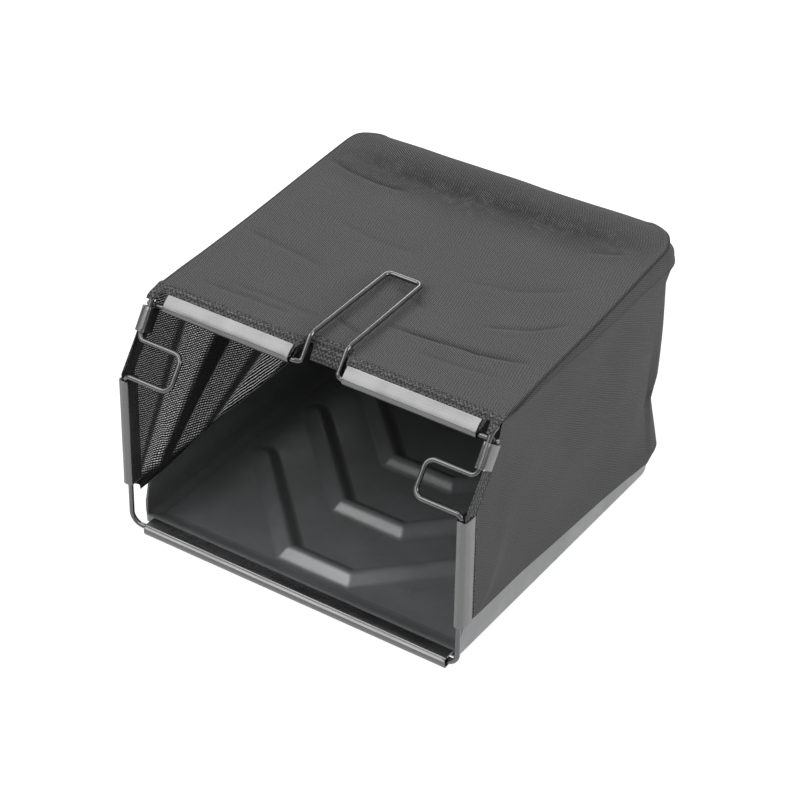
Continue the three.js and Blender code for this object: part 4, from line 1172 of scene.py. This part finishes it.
# Floor, light and camera
FLOOR_GREY = 0.42
FLOOR_GLOW = 0.80
WORLD_LIGHT = 0.30
floor_me = bpy.data.meshes.new("floor")
floor_me.from_pydata([(-6, -6, 0), (6, -6, 0), (6, 6, 0), (-6, 6, 0)], [], [(0, 1, 2, 3)])
floor = bpy.data.objects.new("floor", floor_me)
bpy.context.scene.collection.objects.link(floor)
fm = bpy.data.materials.new("pale floor")
fm.use_nodes = True
fm.node_tree.nodes.clear()
ft = Tree(fm.node_tree)
path = ft.add("ShaderNodeLightPath").outputs
glow = ft.math("MULTIPLY", ft.seen(path, path["Is Glossy Ray"]), FLOOR_GLOW)
ft.add("ShaderNodeOutputMaterial", Surface=ft.add(
    "ShaderNodeAddShader", i0=ft.add("ShaderNodeBsdfDiffuse", Color=grey(FLOOR_GREY)).outputs[0],
    i1=ft.add("ShaderNodeEmission", Strength=glow).outputs[0]).outputs[0])
floor_me.materials.append(fm)

world = bpy.data.worlds.new("studio")
bpy.context.scene.world = world
world.use_nodes = True
wt = Tree(world.node_tree)
path = wt.add("ShaderNodeLightPath").outputs
direction = wt.add("ShaderNodeTexCoord").outputs["Generated"]
height = wt.add("ShaderNodeSeparateXYZ", Vector=direction).outputs["Z"]
glossy = wt.math("MULTIPLY", path["Is Glossy Ray"], wt.ramp(height, 0.40, 0.85, 0.22, 1.0))
background = wt.tree.nodes["Background"]
wt.put(background.inputs["Strength"], wt.ramp(wt.seen(path, glossy), 0, 1, WORLD_LIGHT, 1.0))
background.inputs["Color"].default_value = grey(1)


def lamp(name, place, target, size, power):
    data = bpy.data.lights.new(name, "AREA")
    data.shape = "RECTANGLE"
    data.size, data.size_y = size
    data.energy = power
    ob = bpy.data.objects.new(name, data)
    bpy.context.scene.collection.objects.link(ob)
    ob.location = place
    ob.rotation_mode = "QUATERNION"
    ob.rotation_quaternion = (Vector(target) - Vector(place)).to_track_quat("-Z", "Y")


lamp("key", (-1.25, -1.80, 2.4), (0, -0.05, 0.1), (3.2, 2.1), 62)
lamp("fill", (2.0, 0.35, 1.0), (0, 0, 0.1), (1.0, 1.0), 24)
lamp("back", (-1.35, 2.0, 1.75), (0, 0, 0.2), (0.7, 0.9), 12)
lamp("top", (0.1, 0.6, 2.3), (0, 0, 0.2), (1.4, 0.8), 8)

cam_data = bpy.data.cameras.new("camera")
cam = bpy.data.objects.new("camera", cam_data)
bpy.context.scene.collection.objects.link(cam)
bpy.context.scene.camera = cam
cam_data.lens = 126.0
cam_data.sensor_width = 36.0
eye = (1.1996, -1.6115 + SHIFT / 1000, 1.6570)
yaw, pitch, roll = math.radians(33.79), math.radians(35.54), math.radians(0.5)
back = Vector((math.sin(yaw) * math.cos(pitch), -math.cos(yaw) * math.cos(pitch), math.sin(pitch)))
right = Vector((math.cos(yaw), math.sin(yaw), 0))
up = back.cross(right)
r2 = right * math.cos(roll) + up * math.sin(roll)
u2 = up * math.cos(roll) - right * math.sin(roll)
cam.matrix_world = Matrix((
    (r2.x, u2.x, back.x, eye[0]),
    (r2.y, u2.y, back.y, eye[1]),
    (r2.z, u2.z, back.z, eye[2]),
    (0, 0, 0, 1),
))
cam_data.clip_start, cam_data.clip_end = 0.1, 30

view = bpy.context.scene.view_settings
view.view_transform = "Standard"
